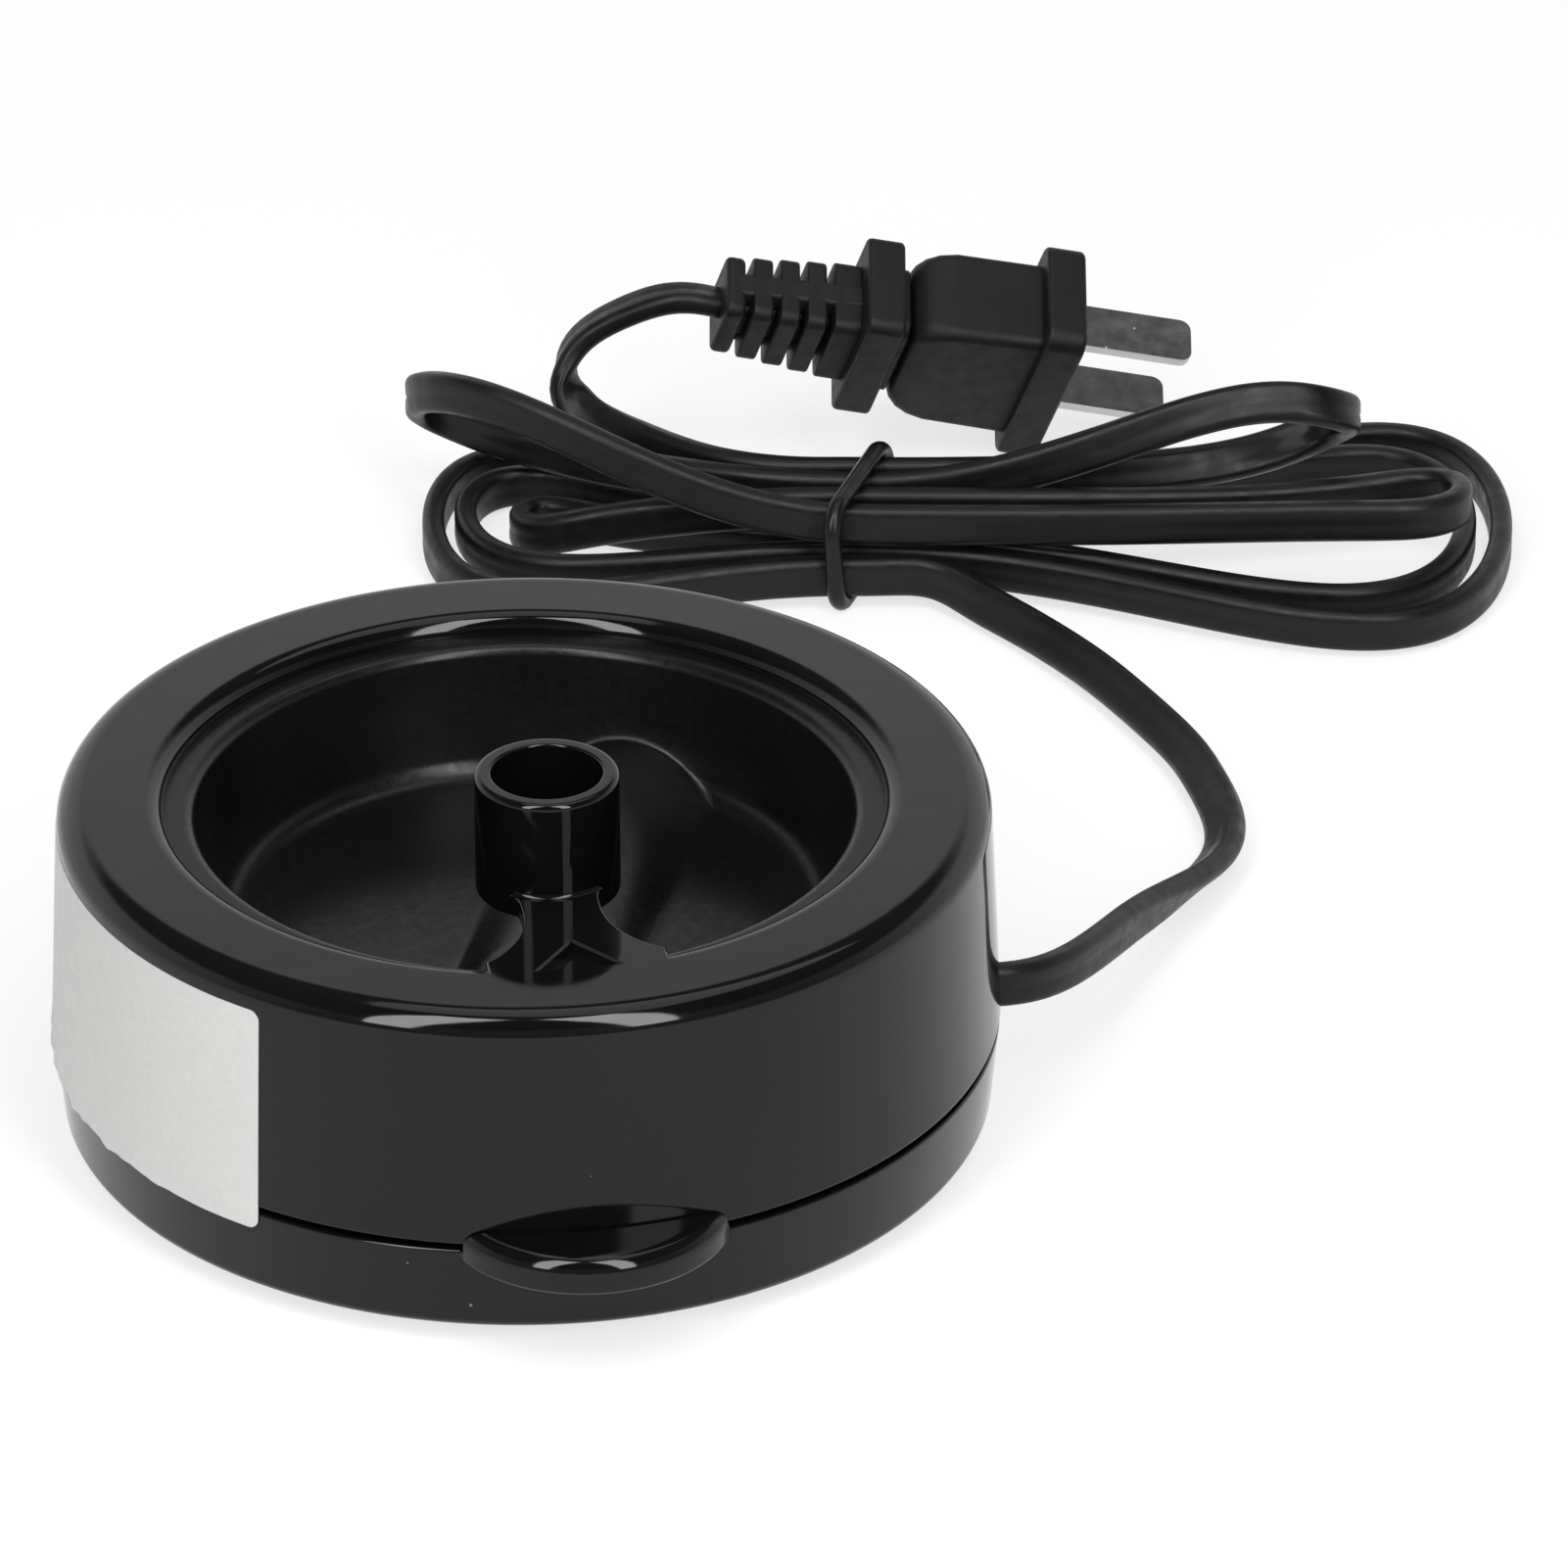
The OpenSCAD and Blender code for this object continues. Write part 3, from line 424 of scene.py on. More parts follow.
def plain_finish(name, dark, light, roughness, metallic=0.0):
    """Finish of a foot or an inner piece: mottled colour, uneven gloss and a fine grain."""
    finish = Finish(name, roughness, metallic)
    finish.colour(finish.tint(finish.noise(300.0, 4.0), dark, light))
    finish.roughness(finish.span(finish.noise(900.0), roughness * 0.85, min(1.0, roughness * 1.15)))
    finish.bump(finish.noise(1500.0), depth=0.00002, strength=0.4)
    return finish.material


# Finishes of the CAD nodes that stay: dark and light colour, roughness, and metallic where it is metal
INNER_FINISHES = {
    "gasket_sheet": ((0.54, 0.52, 0.47), (0.64, 0.62, 0.57), 0.85),
    "plain_steel": ((0.48, 0.49, 0.5), (0.6, 0.61, 0.62), 0.35, 1.0),
    "heater_case": ((0.66, 0.67, 0.68), (0.77, 0.78, 0.79), 0.42, 1.0),
    "lead_sleeve": ((0.5, 0.47, 0.41), (0.59, 0.56, 0.5), 0.6),
    "inner_plastic": ((0.085, 0.085, 0.085), (0.115, 0.115, 0.115), 0.5),
    "foot_rubber": ((0.014, 0.014, 0.014), (0.024, 0.024, 0.024), 0.7),
}


def dress_cad_nodes():
    """Give each CAD node that stays the finish of its slot."""
    made = {slot: plain_finish(slot + "_finish", *facts) for slot, facts in INNER_FINISHES.items()}
    for part in frame["record"]["subparts"]:
        material = made.get(part["material_slot"])
        if material is None:
            continue
        obj = frame["nodes"][part["node"]]
        obj.data.materials.clear()
        obj.data.materials.append(material)


# Upper shell with its ring, tongue and tube
SHELL_FOOT_R = 0.35
TONGUE_HALF_W = 4.4
TONGUE_EDGE = 0.3
ROOT_HALF_W = 10.0
ROOT_REACH = 1.4
FLARE_R = 12.0
FLARE_Y = -28.6
THROAT_R = 4.0
TUBE_SINK = 0.9
TUBE_LIP_R = 0.65
TUBE_FOOT_R = 0.3
TUBE_BORE_EDGE_R = 0.25
TUBE_FILLET_R = 0.45
TUBE_FILLET_SINK = 0.2
TUBE_FILLET_SPAN = 72.0
# Triangular recess in the tongue, whose upper edges spread by a small bevel
NOTCH_TIP_Y = -35.6
NOTCH_BACK_Y = -41.6
NOTCH_HALF_W = 4.75
NOTCH_DEPTH = 1.4
NOTCH_BEVEL = 0.3
NOTCH_PAST = 0.1
NOTCH_SPREAD = 1.1
NOTCH_TIP_SPREAD = 0.55
NOTCH_BACK_SPREAD = 0.2
# Slot for the cord through the wall and the base
SLOT_RUN = 14.0
SLOT_ROOM = 0.3
SLOT_CORNER = 1.2


def shell_profile():
    edge, foot, shoulder = RING_EDGE_R, SHELL_FOOT_R, SHOULDER_R
    return (
        [(SHELL_R - WALL, SHELL_Z)]
        + arc((SHELL_R - foot, SHELL_Z + foot), foot, -90, 0, 4)
        + [(SHELL_R - LEAN_TRACE, SHELL_Z + foot + HOLD)]
        + [(SHELL_TOP_R + LEAN_TRACE, TOP_Z - shoulder - HOLD)]
        + arc((SHELL_TOP_R - shoulder, TOP_Z - shoulder), shoulder, 2, 90, 18)
        + [(SHELL_TOP_R - shoulder - HOLD, TOP_Z), (RING_IN_R + edge + HOLD, TOP_Z)]
        + arc((RING_IN_R + edge, TOP_Z - edge), edge, 90, 180, 14)
        + [(RING_IN_R, RIM_Z), (SHELL_TOP_R - WALL, RIM_Z)])


def tongue_outline():
    """Half of the tongue's plan from the ring to the tube wall, then its mirror image."""
    flare = (TONGUE_HALF_W + FLARE_R, FLARE_Y)
    root_turn = math.degrees(math.acos((ROOT_HALF_W - flare[0]) / FLARE_R))
    throat_x = TONGUE_HALF_W + THROAT_R
    throat_drop = math.sqrt((TUBE_R + THROAT_R) ** 2 - throat_x ** 2)
    throat = (throat_x, TUBE_Y - throat_drop)
    touch = math.degrees(math.atan2(throat_drop, -throat_x))
    inner_turn = math.degrees(math.atan2(-throat_drop, throat_x))
    right = [(ROOT_HALF_W, -(RING_IN_R + RING_EDGE_R + ROOT_REACH))]
    right += arc(flare, FLARE_R, 360 - root_turn, 180, 18)
    right += arc(throat, THROAT_R, 180, touch, 8)
    right += arc((0.0, TUBE_Y), TUBE_R - TUBE_SINK, inner_turn, -90, 6)
    return right + [(-x, y) for x, y in reversed(right[:-1])]


def tube_profile():
    lip, foot, bore_edge = TUBE_LIP_R, TUBE_FOOT_R, TUBE_BORE_EDGE_R
    return (
        [(TUBE_BORE_R, TUBE_LOW_Z)]
        + arc((TUBE_R - foot, TUBE_LOW_Z + foot), foot, -90, 0, 3)
        + [(TUBE_R, TUBE_LOW_Z + foot + HOLD), (TUBE_R, TUBE_TOP_Z - lip - 0.75 * HOLD)]
        + arc((TUBE_R - lip, TUBE_TOP_Z - lip), lip, 0, 90, 6)
        + [(TUBE_R - lip - HOLD / 2, TUBE_TOP_Z), (TUBE_BORE_R + bore_edge + HOLD / 2, TUBE_TOP_Z)]
        + arc((TUBE_BORE_R + bore_edge, TUBE_TOP_Z - bore_edge), bore_edge, 90, 180, 3))


def tube_foot():
    """Thin fillet where the tongue's top meets the front of the tube."""
    r, sink = TUBE_FILLET_R, TUBE_FILLET_SINK
    bm = spun(
        [(TUBE_R - sink, TOP_Z - sink / 2), (TUBE_R + r, TOP_Z - sink / 2)]
        + arc((TUBE_R + r, TOP_Z + r), r, -90, -180, 4) + [(TUBE_R - sink, TOP_Z + r)],
        steps=28, angle=TUBE_FILLET_SPAN)
    ends = [e for e in bm.edges if e.is_boundary]
    bmesh.ops.holes_fill(bm, edges=ends, sides=0)
    bmesh.ops.recalc_face_normals(bm, faces=bm.faces)
    return moved(swung(bm, -90.0 - TUBE_FILLET_SPAN / 2), (0, TUBE_Y, 0))


def notch_cut():
    outline = [(0.0, NOTCH_TIP_Y), (-NOTCH_HALF_W, NOTCH_BACK_Y), (NOTCH_HALF_W, NOTCH_BACK_Y)]
    bevel_z = TOP_Z - NOTCH_BEVEL
    bm = prism(outline, TOP_Z - NOTCH_DEPTH, bevel_z)
    lid = [f for f in bm.faces if all(v.co.z > bevel_z - NOTCH_PAST for v in f.verts)]
    top = raised(bm, lid, NOTCH_BEVEL + NOTCH_PAST)
    bmesh.ops.delete(bm, geom=lid, context="FACES_ONLY")
    middle = (NOTCH_TIP_Y + NOTCH_BACK_Y) / 2
    for vert in top:
        vert.co.x *= NOTCH_SPREAD
        vert.co.y += NOTCH_TIP_SPREAD if vert.co.y > middle else -NOTCH_BACK_SPREAD
    bmesh.ops.recalc_face_normals(bm, faces=bm.faces)
    return bm


def cord_slot():
    """Block with rounded long edges that cuts the cord's way out."""
    bm = bmesh.new()
    bmesh.ops.create_cube(bm, size=1.0)
    size = (SLOT_RUN, CORD_T + 2 * SLOT_ROOM, CORD_W + 2 * SLOT_ROOM)
    bmesh.ops.scale(bm, vec=size, verts=bm.verts)
    along = [e for e in bm.edges if abs(e.verts[0].co.x - e.verts[1].co.x) > SLOT_RUN / 2]
    soften(bm, along, SLOT_CORNER, 4)
    return swung(moved(bm, (SHELL_R, 0.0, CORD_Z)), CORD_TURN)


def upper_shell(material):
    tongue = prism(tongue_outline(), RIM_Z, TOP_Z, TONGUE_EDGE)
    tube = moved(spun(tube_profile(), steps=96), (0, TUBE_Y, 0))
    bm = combined(spun(shell_profile()), "UNION", tongue, tube, tube_foot())
    bm = combined(bm, "DIFFERENCE", notch_cut(), cord_slot())
    return finished("shell_ring_and_tube", bm, material, ["upper_shell"])


# Base with its lip, screw pillars and half-moon tab
BASE_EDGE_R = 1.5
SEAM_EDGE_R = 0.3
LIP_R = 51.3
LIP_T = 1.6
LIP_TOP_Z = 15.1
PILLAR_AT = 46.75
PILLAR_R = 3.45
PILLAR_TOP_Z = 16.5
PILLAR_SINK = 0.5
PILLAR_ANGLES = (62, 118, -62, -118)
SCREW_RECESS_R = 2.75
SCREW_SEAT_Z = 14.1
TAB_HALF_W = 15.0
TAB_LOW_Z = 11.0
TAB_TOP_Z = 15.2
TAB_EDGE_R = 2.0
TAB_UNDER_R = 0.5
TAB_GAP = 0.3


def base_profile():
    low, seam = BASE_EDGE_R, SEAM_EDGE_R
    return (
        [(0.0, BASE_Z), (BASE_LOW_R - low - HOLD, BASE_Z)]
        + arc((BASE_LOW_R - low, BASE_Z + low), low, -90, 0, 10)
        + [(BASE_LOW_R + 1.5 * LEAN_TRACE, BASE_Z + low + 1.5 * HOLD)]
        + [(BASE_R - LEAN_TRACE, SEAM_Z - seam - HOLD)]
        + arc((BASE_R - seam, SEAM_Z - seam), seam, 0, 90, 3)
        + [(LIP_R, SEAM_Z), (LIP_R, LIP_TOP_Z), (LIP_R - LIP_T, LIP_TOP_Z)]
        + [(LIP_R - LIP_T, BASE_FLOOR_Z), (0.0, BASE_FLOOR_Z)])


def tab_shape():
    """A disc through the tab's front and ends, cut back to the wall above and to the base inside."""
    front = SHELL_R + TAB_REACH
    bow = front - math.sqrt(SHELL_R ** 2 - TAB_HALF_W ** 2)
    r = (TAB_HALF_W ** 2 + bow ** 2) / (2 * bow)
    low, high, edge, under = TAB_LOW_Z, TAB_TOP_Z, TAB_EDGE_R, TAB_UNDER_R
    profile = (
        [(0.0, low), (r - under - HOLD / 2, low)]
        + arc((r - under, low + under), under, -90, 0, 4)
        + [(r, low + under + HOLD), (r, high - edge - HOLD)]
        + arc((r - edge, high - edge), edge, 0, 90, 10)
        + [(r - edge - HOLD, high), (0.0, high)])
    disc = moved(spun(profile, closed=False, steps=128), (0, r - front, 0))
    wall = post(SHELL_R + TAB_GAP, SEAM_Z, high + CUT_PAST, FINE_STEPS)
    inside = post(BASE_LOW_R - WALL / 2, low - CUT_PAST, high + CUT_PAST, FINE_STEPS)
    return combined(disc, "DIFFERENCE", wall, inside)


def ring_of_posts(radius, low, high):
    """One post at each of the four screws."""
    bm = bmesh.new()
    for angle in PILLAR_ANGLES:
        turn = math.radians(angle)
        place = (PILLAR_AT * math.cos(turn), PILLAR_AT * math.sin(turn), 0)
        added(bm, moved(post(radius, low, high), place))
    return bm


def base_shell(material):
    pillars = ring_of_posts(PILLAR_R, BASE_Z + PILLAR_SINK, PILLAR_TOP_Z)
    recesses = ring_of_posts(SCREW_RECESS_R, BASE_Z - CUT_PAST, SCREW_SEAT_Z)
    bm = combined(spun(base_profile(), closed=False), "UNION", tab_shape(), pillars)
    bm = combined(bm, "DIFFERENCE", recesses, cord_slot())
    return finished("base_and_tab", bm, material, ["base_shell"])


# Dish with the raised channel in its floor
DISH_R = 37.4
DISH_FLOOR_R = 34.6
DISH_FLOOR_Z = 24.0
DISH_T = 1.2
DISH_FILLET = 2.8
DISH_RIM_R = 1.3
DISH_FLANGE_R = 43.0
DISH_STEPS = 256
DISH_FLOOR_STEPS = 44
DISH_WALL_STEPS = 14
CHANNEL_START = Vector((0.0, -14.0))
CHANNEL_TURN = 21.0
CHANNEL_R = 11.6
CHANNEL_AXIS_Z = 17.2
CHANNEL_RUN = 60.0
CHANNEL_SOFT = 1.8
# Points of the dish from this height up stay where they are
CHANNEL_STOP_Z = RIM_Z - 4.0


def dish_skin(out):
    """Profile of the dish's upper face, or of its under face where out is the metal's thickness."""
    lean = math.atan((DISH_R - DISH_FLOOR_R) / (RIM_Z - DISH_FLOOR_Z))
    lean_deg = math.degrees(lean)
    reach = DISH_FILLET / math.tan((math.pi / 2 + lean) / 2)
    bend = (DISH_FLOOR_R - reach, DISH_FLOOR_Z + DISH_FILLET)
    inset = DISH_RIM_R * (1 - math.sin(lean)) / math.cos(lean)
    rim = (DISH_R + inset, RIM_Z - DISH_RIM_R)
    floor_end = bend[0] - HOLD
    floor = [
        (floor_end * k / DISH_FLOOR_STEPS, DISH_FLOOR_Z - out) for k in range(DISH_FLOOR_STEPS + 1)]
    lower = arc(bend, DISH_FILLET + out, -90, -lean_deg, 14)
    upper = arc(rim, DISH_RIM_R - out, 180 - lean_deg, 90, 8)
    (low_r, low_z), (high_r, high_z) = lower[-1], upper[0]
    shares = [k / DISH_WALL_STEPS for k in range(1, DISH_WALL_STEPS)]
    wall = [(low_r + (high_r - low_r) * t, low_z + (high_z - low_z) * t) for t in shares]
    flange = [(rim[0] + 1.5 * HOLD, RIM_Z - out), (DISH_FLANGE_R, RIM_Z - out)]
    return floor + lower + wall + upper + flange


def raise_channel(bm, radius):
    """Lift the floor into the channel, with a soft blend at its foot."""
    turn = math.radians(90.0 - CHANNEL_TURN)
    along = Vector((math.cos(turn), math.sin(turn)))
    for vert in bm.verts:
        spot = Vector(vert.co.xy) - CHANNEL_START
        run = min(max(spot.dot(along), 0.0), CHANNEL_RUN)
        away = (spot - along * run).length
        if away >= radius or vert.co.z >= CHANNEL_STOP_Z:
            continue
        crown = CHANNEL_AXIS_Z + math.sqrt(radius ** 2 - away ** 2)
        near = max(CHANNEL_SOFT - abs(vert.co.z - crown), 0.0) / CHANNEL_SOFT
        vert.co.z = max(vert.co.z, crown) + near * near * CHANNEL_SOFT / 4
    return bm


def melting_dish(material):
    upper = spun(dish_skin(0.0), closed=False, steps=DISH_STEPS)
    under = spun(dish_skin(DISH_T), closed=False, steps=DISH_STEPS)
    bm = added(raise_channel(upper, CHANNEL_R), raise_channel(under, CHANNEL_R - DISH_T))
    rims = [e for e in bm.edges if e.is_boundary]
    bmesh.ops.bridge_loops(bm, edges=rims)
    bmesh.ops.recalc_face_normals(bm, faces=bm.faces)
    return finished("dish_with_channel", bm, material, ["melting_dish"], crease=50.0)


# Blank label bent round the wall, with its right edge this far round from the front
LABEL_EDGE = 41.7
LABEL_LOW_Z = 10.6
LABEL_H = 27.0
LABEL_W = 62.0
LABEL_CORNER = 1.2
LABEL_T = 0.12
LABEL_OFF = 0.06
LABEL_COLUMNS = 62
LABEL_ROWS = 18
# Loose lower edge: where it starts along the label, the run in which it comes loose, and its height
LOOSE_FROM = 8.0
LOOSE_RUN = 20.0
LOOSE_H = 4.0
LOOSE_RISE = 0.2
LOOSE_LIFT = 0.18
# Waves of that edge: size, turns in radians for each millimetre, and start
EDGE_WAVES = ((0.22, 0.7, 0.0), (0.12, 1.9, 1.0))
LIFT_WAVE = 1.3


def cut_in_strips(bm, across, length, count):
    """Divide a flat sheet evenly along one direction."""
    for k in range(1, count):
        bmesh.ops.bisect_plane(
            bm, geom=bm.verts[:] + bm.edges[:] + bm.faces[:],
            plane_co=across * (length * k / count), plane_no=across)


def bent_spot(along, up):
    """Place on the wall of a point of the flat label, with the loose edge's waves."""
    loose = min(max((along - LOOSE_FROM) / LOOSE_RUN, 0.0), 1.0) * max(0.0, 1.0 - up / LOOSE_H)
    wave = sum(size * math.sin(along * rate + start) for size, rate, start in EDGE_WAVES)
    z = LABEL_LOW_Z + up + loose * (wave + LOOSE_RISE)
    lift = LABEL_OFF + LOOSE_LIFT * loose * (0.5 + 0.5 * math.sin(along * LIFT_WAVE))
    height = (z - SHELL_Z) / (TOP_Z - SHOULDER_R - SHELL_Z)
    radius = SHELL_R + (SHELL_TOP_R - SHELL_R) * height + lift
    turn = math.radians(-90.0 - LABEL_EDGE) - along / SHELL_R
    return (radius * math.cos(turn), radius * math.sin(turn), z)


def blank_label(material):
    bm = rounded_sheet(LABEL_W, LABEL_H, LABEL_CORNER, 8)
    moved(bm, (LABEL_W / 2, LABEL_H / 2, 0.0))
    cut_in_strips(bm, Vector((1.0, 0.0, 0.0)), LABEL_W, LABEL_COLUMNS)
    cut_in_strips(bm, Vector((0.0, 1.0, 0.0)), LABEL_H, LABEL_ROWS)
    for vert in bm.verts:
        vert.co = bent_spot(vert.co.x, vert.co.y)
    bmesh.ops.recalc_face_normals(bm, faces=bm.faces)
    outward = sum(f.normal.xy.dot(f.calc_center_median().xy) for f in bm.faces)
    if outward < 0:
        bmesh.ops.reverse_faces(bm, faces=bm.faces[:])
    bmesh.ops.solidify(bm, geom=bm.faces[:], thickness=LABEL_T)
    bmesh.ops.recalc_face_normals(bm, faces=bm.faces)
    return finished("blank_label", bm, material, ["label"], crease=40.0)


# Flat cord: lead, hank and tail on one route, with the same points as the CAD solids
HANK_AT = Vector((60.0, 121.0, 0.0))
HANK_TURN = -11.0
LOW_Z = 4.2
HIGH_Z = 10.2
# Where the strands cross the middle of the hank, one after another: place from front to back, and height
SLOTS = (
    (-7.8, LOW_Z), (7.2, LOW_Z), (-3.6, LOW_Z), (3.6, LOW_Z), (0.0, LOW_Z),
    (-0.7, HIGH_Z), (-5.4, HIGH_Z), (3.3, HIGH_Z), (7.4, HIGH_Z))
# Each half loop, left and right in turn: reach, swell, shift to the back, rise, lift and roll
HALF_LOOPS = (
    (54.0, 14.0, 8.0, -1.4, 0.0, 0.0),
    (80.5, 22.5, 7.5, -1.4, 0.0, 0.0),
    (50.0, 9.7, 9.0, -1.4, 0.0, 0.0),
    (76.0, 18.0, 7.9, -1.4, 0.0, 0.0),
    (43.0, 3.0, 8.0, -4.4, 0.0, 0.0),
    (75.0, 3.0, 5.0, 2.4, -3.0, 0.0),
    (56.5, 4.0, 19.5, -3.0, 13.3, 0.0),
    (61.0, 0.5, 4.5, 1.0, 12.0, 60.0),
)
LOOP_RINGS = 36
# Largest values of the swell and lift curves, by which they are divided
SWELL_PEAK = 0.385
LIFT_PEAK = 0.42
# Radius to which the tips of the narrow folds open
FOLD_R = 8.0
# Straight stretch of the lead and of the tail at the hank
STUB = 6.0
# Radii of the cord's first points, from its end inside the wall to just outside
INNER_RUN = (38.0, 49.0, 55.5)
LEAD_ROUTE = (
    (61.0, -1.5, 12.0), (66.5, 5.0, 10.5), (74.0, 16.5, 7.7), (81.0, 26.5, 5.0), (86.0, 33.5, 3.6),
    (89.5, 40.0, 3.0), (91.0, 47.0, 2.8), (91.0, 54.0, 2.8), (90.0, 64.0, 2.8), (87.0, 75.0, 2.8),
    (83.0, 86.5, 2.8), (78.0, 97.0, 2.8), (72.5, 105.5, 3.2))
# Lean of the lead on the table, and the shares of its length at which it leans over and rises again
LEAD_LEAN = 52.0
LEAN_FROM = 0.28
LEAN_IN = 0.14
LEAN_TO = 0.97
LEAN_OUT = 0.2
# Points of the tail, each with the direction of the cord's width
TAIL_ROUTE = (
    ((44.0, 134.5, 10.0), (0.0, 0.0, 1.0)),
    ((36.0, 142.5, 10.0), (0.0, 0.3, 1.0)),
    ((29.5, 149.0, 11.5), (0.0, 1.0, 1.0)),
    ((27.5, 153.0, 14.5), (0.5, 1.0, 0.3)),
    ((29.5, 155.0, 18.8), (0.3, 1.0, 0.0)),
    ((35.7, 154.4, 22.8), (0.0, 1.0, 0.0)),
)
PLUG_AT = Vector((90.9, 150.4, 14.0))
PLUG_ROLL = 28.4
PLUG_PITCH = 12.8
PLUG_TURN = -2.7
PLUG_L = 45.0
PLUG_ENTRY = 1.0
# Curve steps between the route's points, pitch of the even route, its easing, and last curve steps
ROUTE_STEPS = 6
ROUTE_PITCH = 2.0
EASE_ROUNDS = 12
EASE_WEIGHTS = (0.5, -0.52)
SKIN_STEPS = 2
# Section of the cord
CORD_CORNER = 1.1
GROOVE_DEPTH = 0.12
GROOVE_HALF_W = 0.45


def turned(point, degrees):
    """Turn a point about the Z axis."""
    return Matrix.Rotation(math.radians(degrees), 3, "Z") @ Vector(point)


def to_hank(point):
    """Carry a point of the hank's own frame to where the hank lies."""
    return HANK_AT + turned(point, HANK_TURN)


def plug_point(x):
    """Point on the plug's axis, x in front of its front face."""
    pitch = math.radians(PLUG_PITCH)
    return PLUG_AT + turned((x * math.cos(pitch), 0.0, -x * math.sin(pitch)), PLUG_TURN)


def smooth(points, steps):
    """Points of a curve through the given points, with both ends."""
    out = []
    last = len(points) - 1
    for i in range(last):
        a, b, c, d = (points[min(max(i + k, 0), last)] for k in (-1, 0, 1, 2))
        for k in range(steps):
            t = k / steps
            out.append(0.5 * (
                2 * b + (c - a) * t
                + (2 * a - 5 * b + 4 * c - d) * t * t
                + (3 * b - a - 3 * c + d) * t ** 3))
    return out + [points[last]]


def soft_step(t):
    """Go from zero to one without a kink."""
    t = min(max(t, 0.0), 1.0)
    return t * t * (3 - 2 * t)


def leaning(points, upright):
    """Width of the lead: upright at both ends, and leaning over where it lies on the table."""
    last = len(points) - 1
    ups = []
    for i in range(last + 1):
        heading = points[min(i + 1, last)] - points[max(i - 1, 0)]
        share = soft_step((i / last - LEAN_FROM) / LEAN_IN) * soft_step((LEAN_TO - i / last) / LEAN_OUT)
        lean = math.radians(LEAD_LEAN) * share
        ups.append(upright * math.cos(lean) + heading.cross(upright).normalized() * math.sin(lean))
    return ups


def even_steps(points, ups, step):
    """The same route with its points a steady step apart."""
    gone = [0.0]
    for a, b in zip(points, points[1:]):
        gone.append(gone[-1] + (b - a).length)
    count = round(gone[-1] / step)
    route, wide, i = [], [], 0
    for k in range(count + 1):
        goal = gone[-1] * k / count
        while i < len(points) - 2 and gone[i + 1] < goal:
            i += 1
        t = (goal - gone[i]) / max(gone[i + 1] - gone[i], 1e-6)
        route.append(points[i].lerp(points[i + 1], t))
        wide.append(ups[i].lerp(ups[i + 1], t))
    return route, wide


def eased(points, ups, rounds):
    """Ease the kinks out of a route without drawing its loops in; both ends stay."""
    for weight in EASE_WEIGHTS * rounds:
        points = [points[0]] + [
            b + ((a + c) / 2 - b) * weight for a, b, c in zip(points, points[1:], points[2:])] + [points[-1]]
    for _ in range(rounds):
        ups = [ups[0]] + [(a + b * 2 + c) / 4 for a, b, c in zip(ups, ups[1:], ups[2:])] + [ups[-1]]
    return points, ups


def loop_point(k, a):
    """Point of a half loop in the hank's own frame, where a goes from 0 to half a turn."""
    reach, swell, shift, rise, lift, _ = HALF_LOOPS[k]
    start, end = SLOTS[k], SLOTS[k + 1]
    side = -1 if k % 2 == 0 else 1
    turn = 1 if end[0] > start[0] else -1
    t = (1 - math.cos(a)) / 2
    out = math.sin(a) ** 2
    bulge = -math.cos(a) * out / SWELL_PEAK
    hump = (math.sin(a) * (1 + math.cos(a)) / 2) ** 2 / LIFT_PEAK
    pinch = math.sqrt(FOLD_R * reach) - swell / SWELL_PEAK - abs(end[0] - start[0]) / 2
    eye = max(pinch, 0.0) * -math.cos(a) * out ** 4
    return (
        side * reach * math.sin(a),
        start[0] + (end[0] - start[0]) * t + turn * (swell * bulge + eye) + shift * out,
        start[1] + (end[1] - start[1]) * t + rise * out + lift * hump)


def cord_route():
    """The cord's middle line and the direction of its width, from inside the wall to the plug."""
    upright = Vector((0.0, 0.0, 1.0))
    level = Vector((0.0, 1.0, 0.0))
    half_stub = Vector((STUB / 2, 0, 0))
    hank_start = Vector((STUB, *SLOTS[0]))
    hank_end = Vector((-STUB, *SLOTS[-1]))
    lead = [turned((x, 0.0, CORD_Z), CORD_TURN) for x in INNER_RUN]
    lead += [Vector(p) for p in LEAD_ROUTE]
    lead += [to_hank(hank_start + half_stub), to_hank(hank_start)]
    points = smooth(lead, ROUTE_STEPS)[:-1]
    ups = leaning(points, upright)
    points.append(to_hank(hank_start))
    ups.append(upright)
    for k, half in enumerate(HALF_LOOPS):
        for i in range(LOOP_RINGS):
            a = math.pi * i / LOOP_RINGS
            roll = math.radians(half[5] * math.sin(a) ** 2)
            points.append(to_hank(loop_point(k, a)))
            ups.append(turned((0.0, math.sin(roll), math.cos(roll)), HANK_TURN))
    points.append(to_hank((0.0, *SLOTS[-1])))
    ups.append(upright)
    tail = [(to_hank(hank_end), upright), (to_hank(hank_end - half_stub), upright)]
    tail += [(Vector(p), Vector(w)) for p, w in TAIL_ROUTE]
    tail += [(plug_point(-PLUG_L - CORD_W), level), (plug_point(-PLUG_L + PLUG_ENTRY), level)]
    points += smooth([p for p, _ in tail], ROUTE_STEPS)
    ups += smooth([w for _, w in tail], ROUTE_STEPS)
    points, ups = eased(*even_steps(points, ups, ROUTE_PITCH), EASE_ROUNDS)
    return smooth(points, SKIN_STEPS), smooth(ups, SKIN_STEPS)


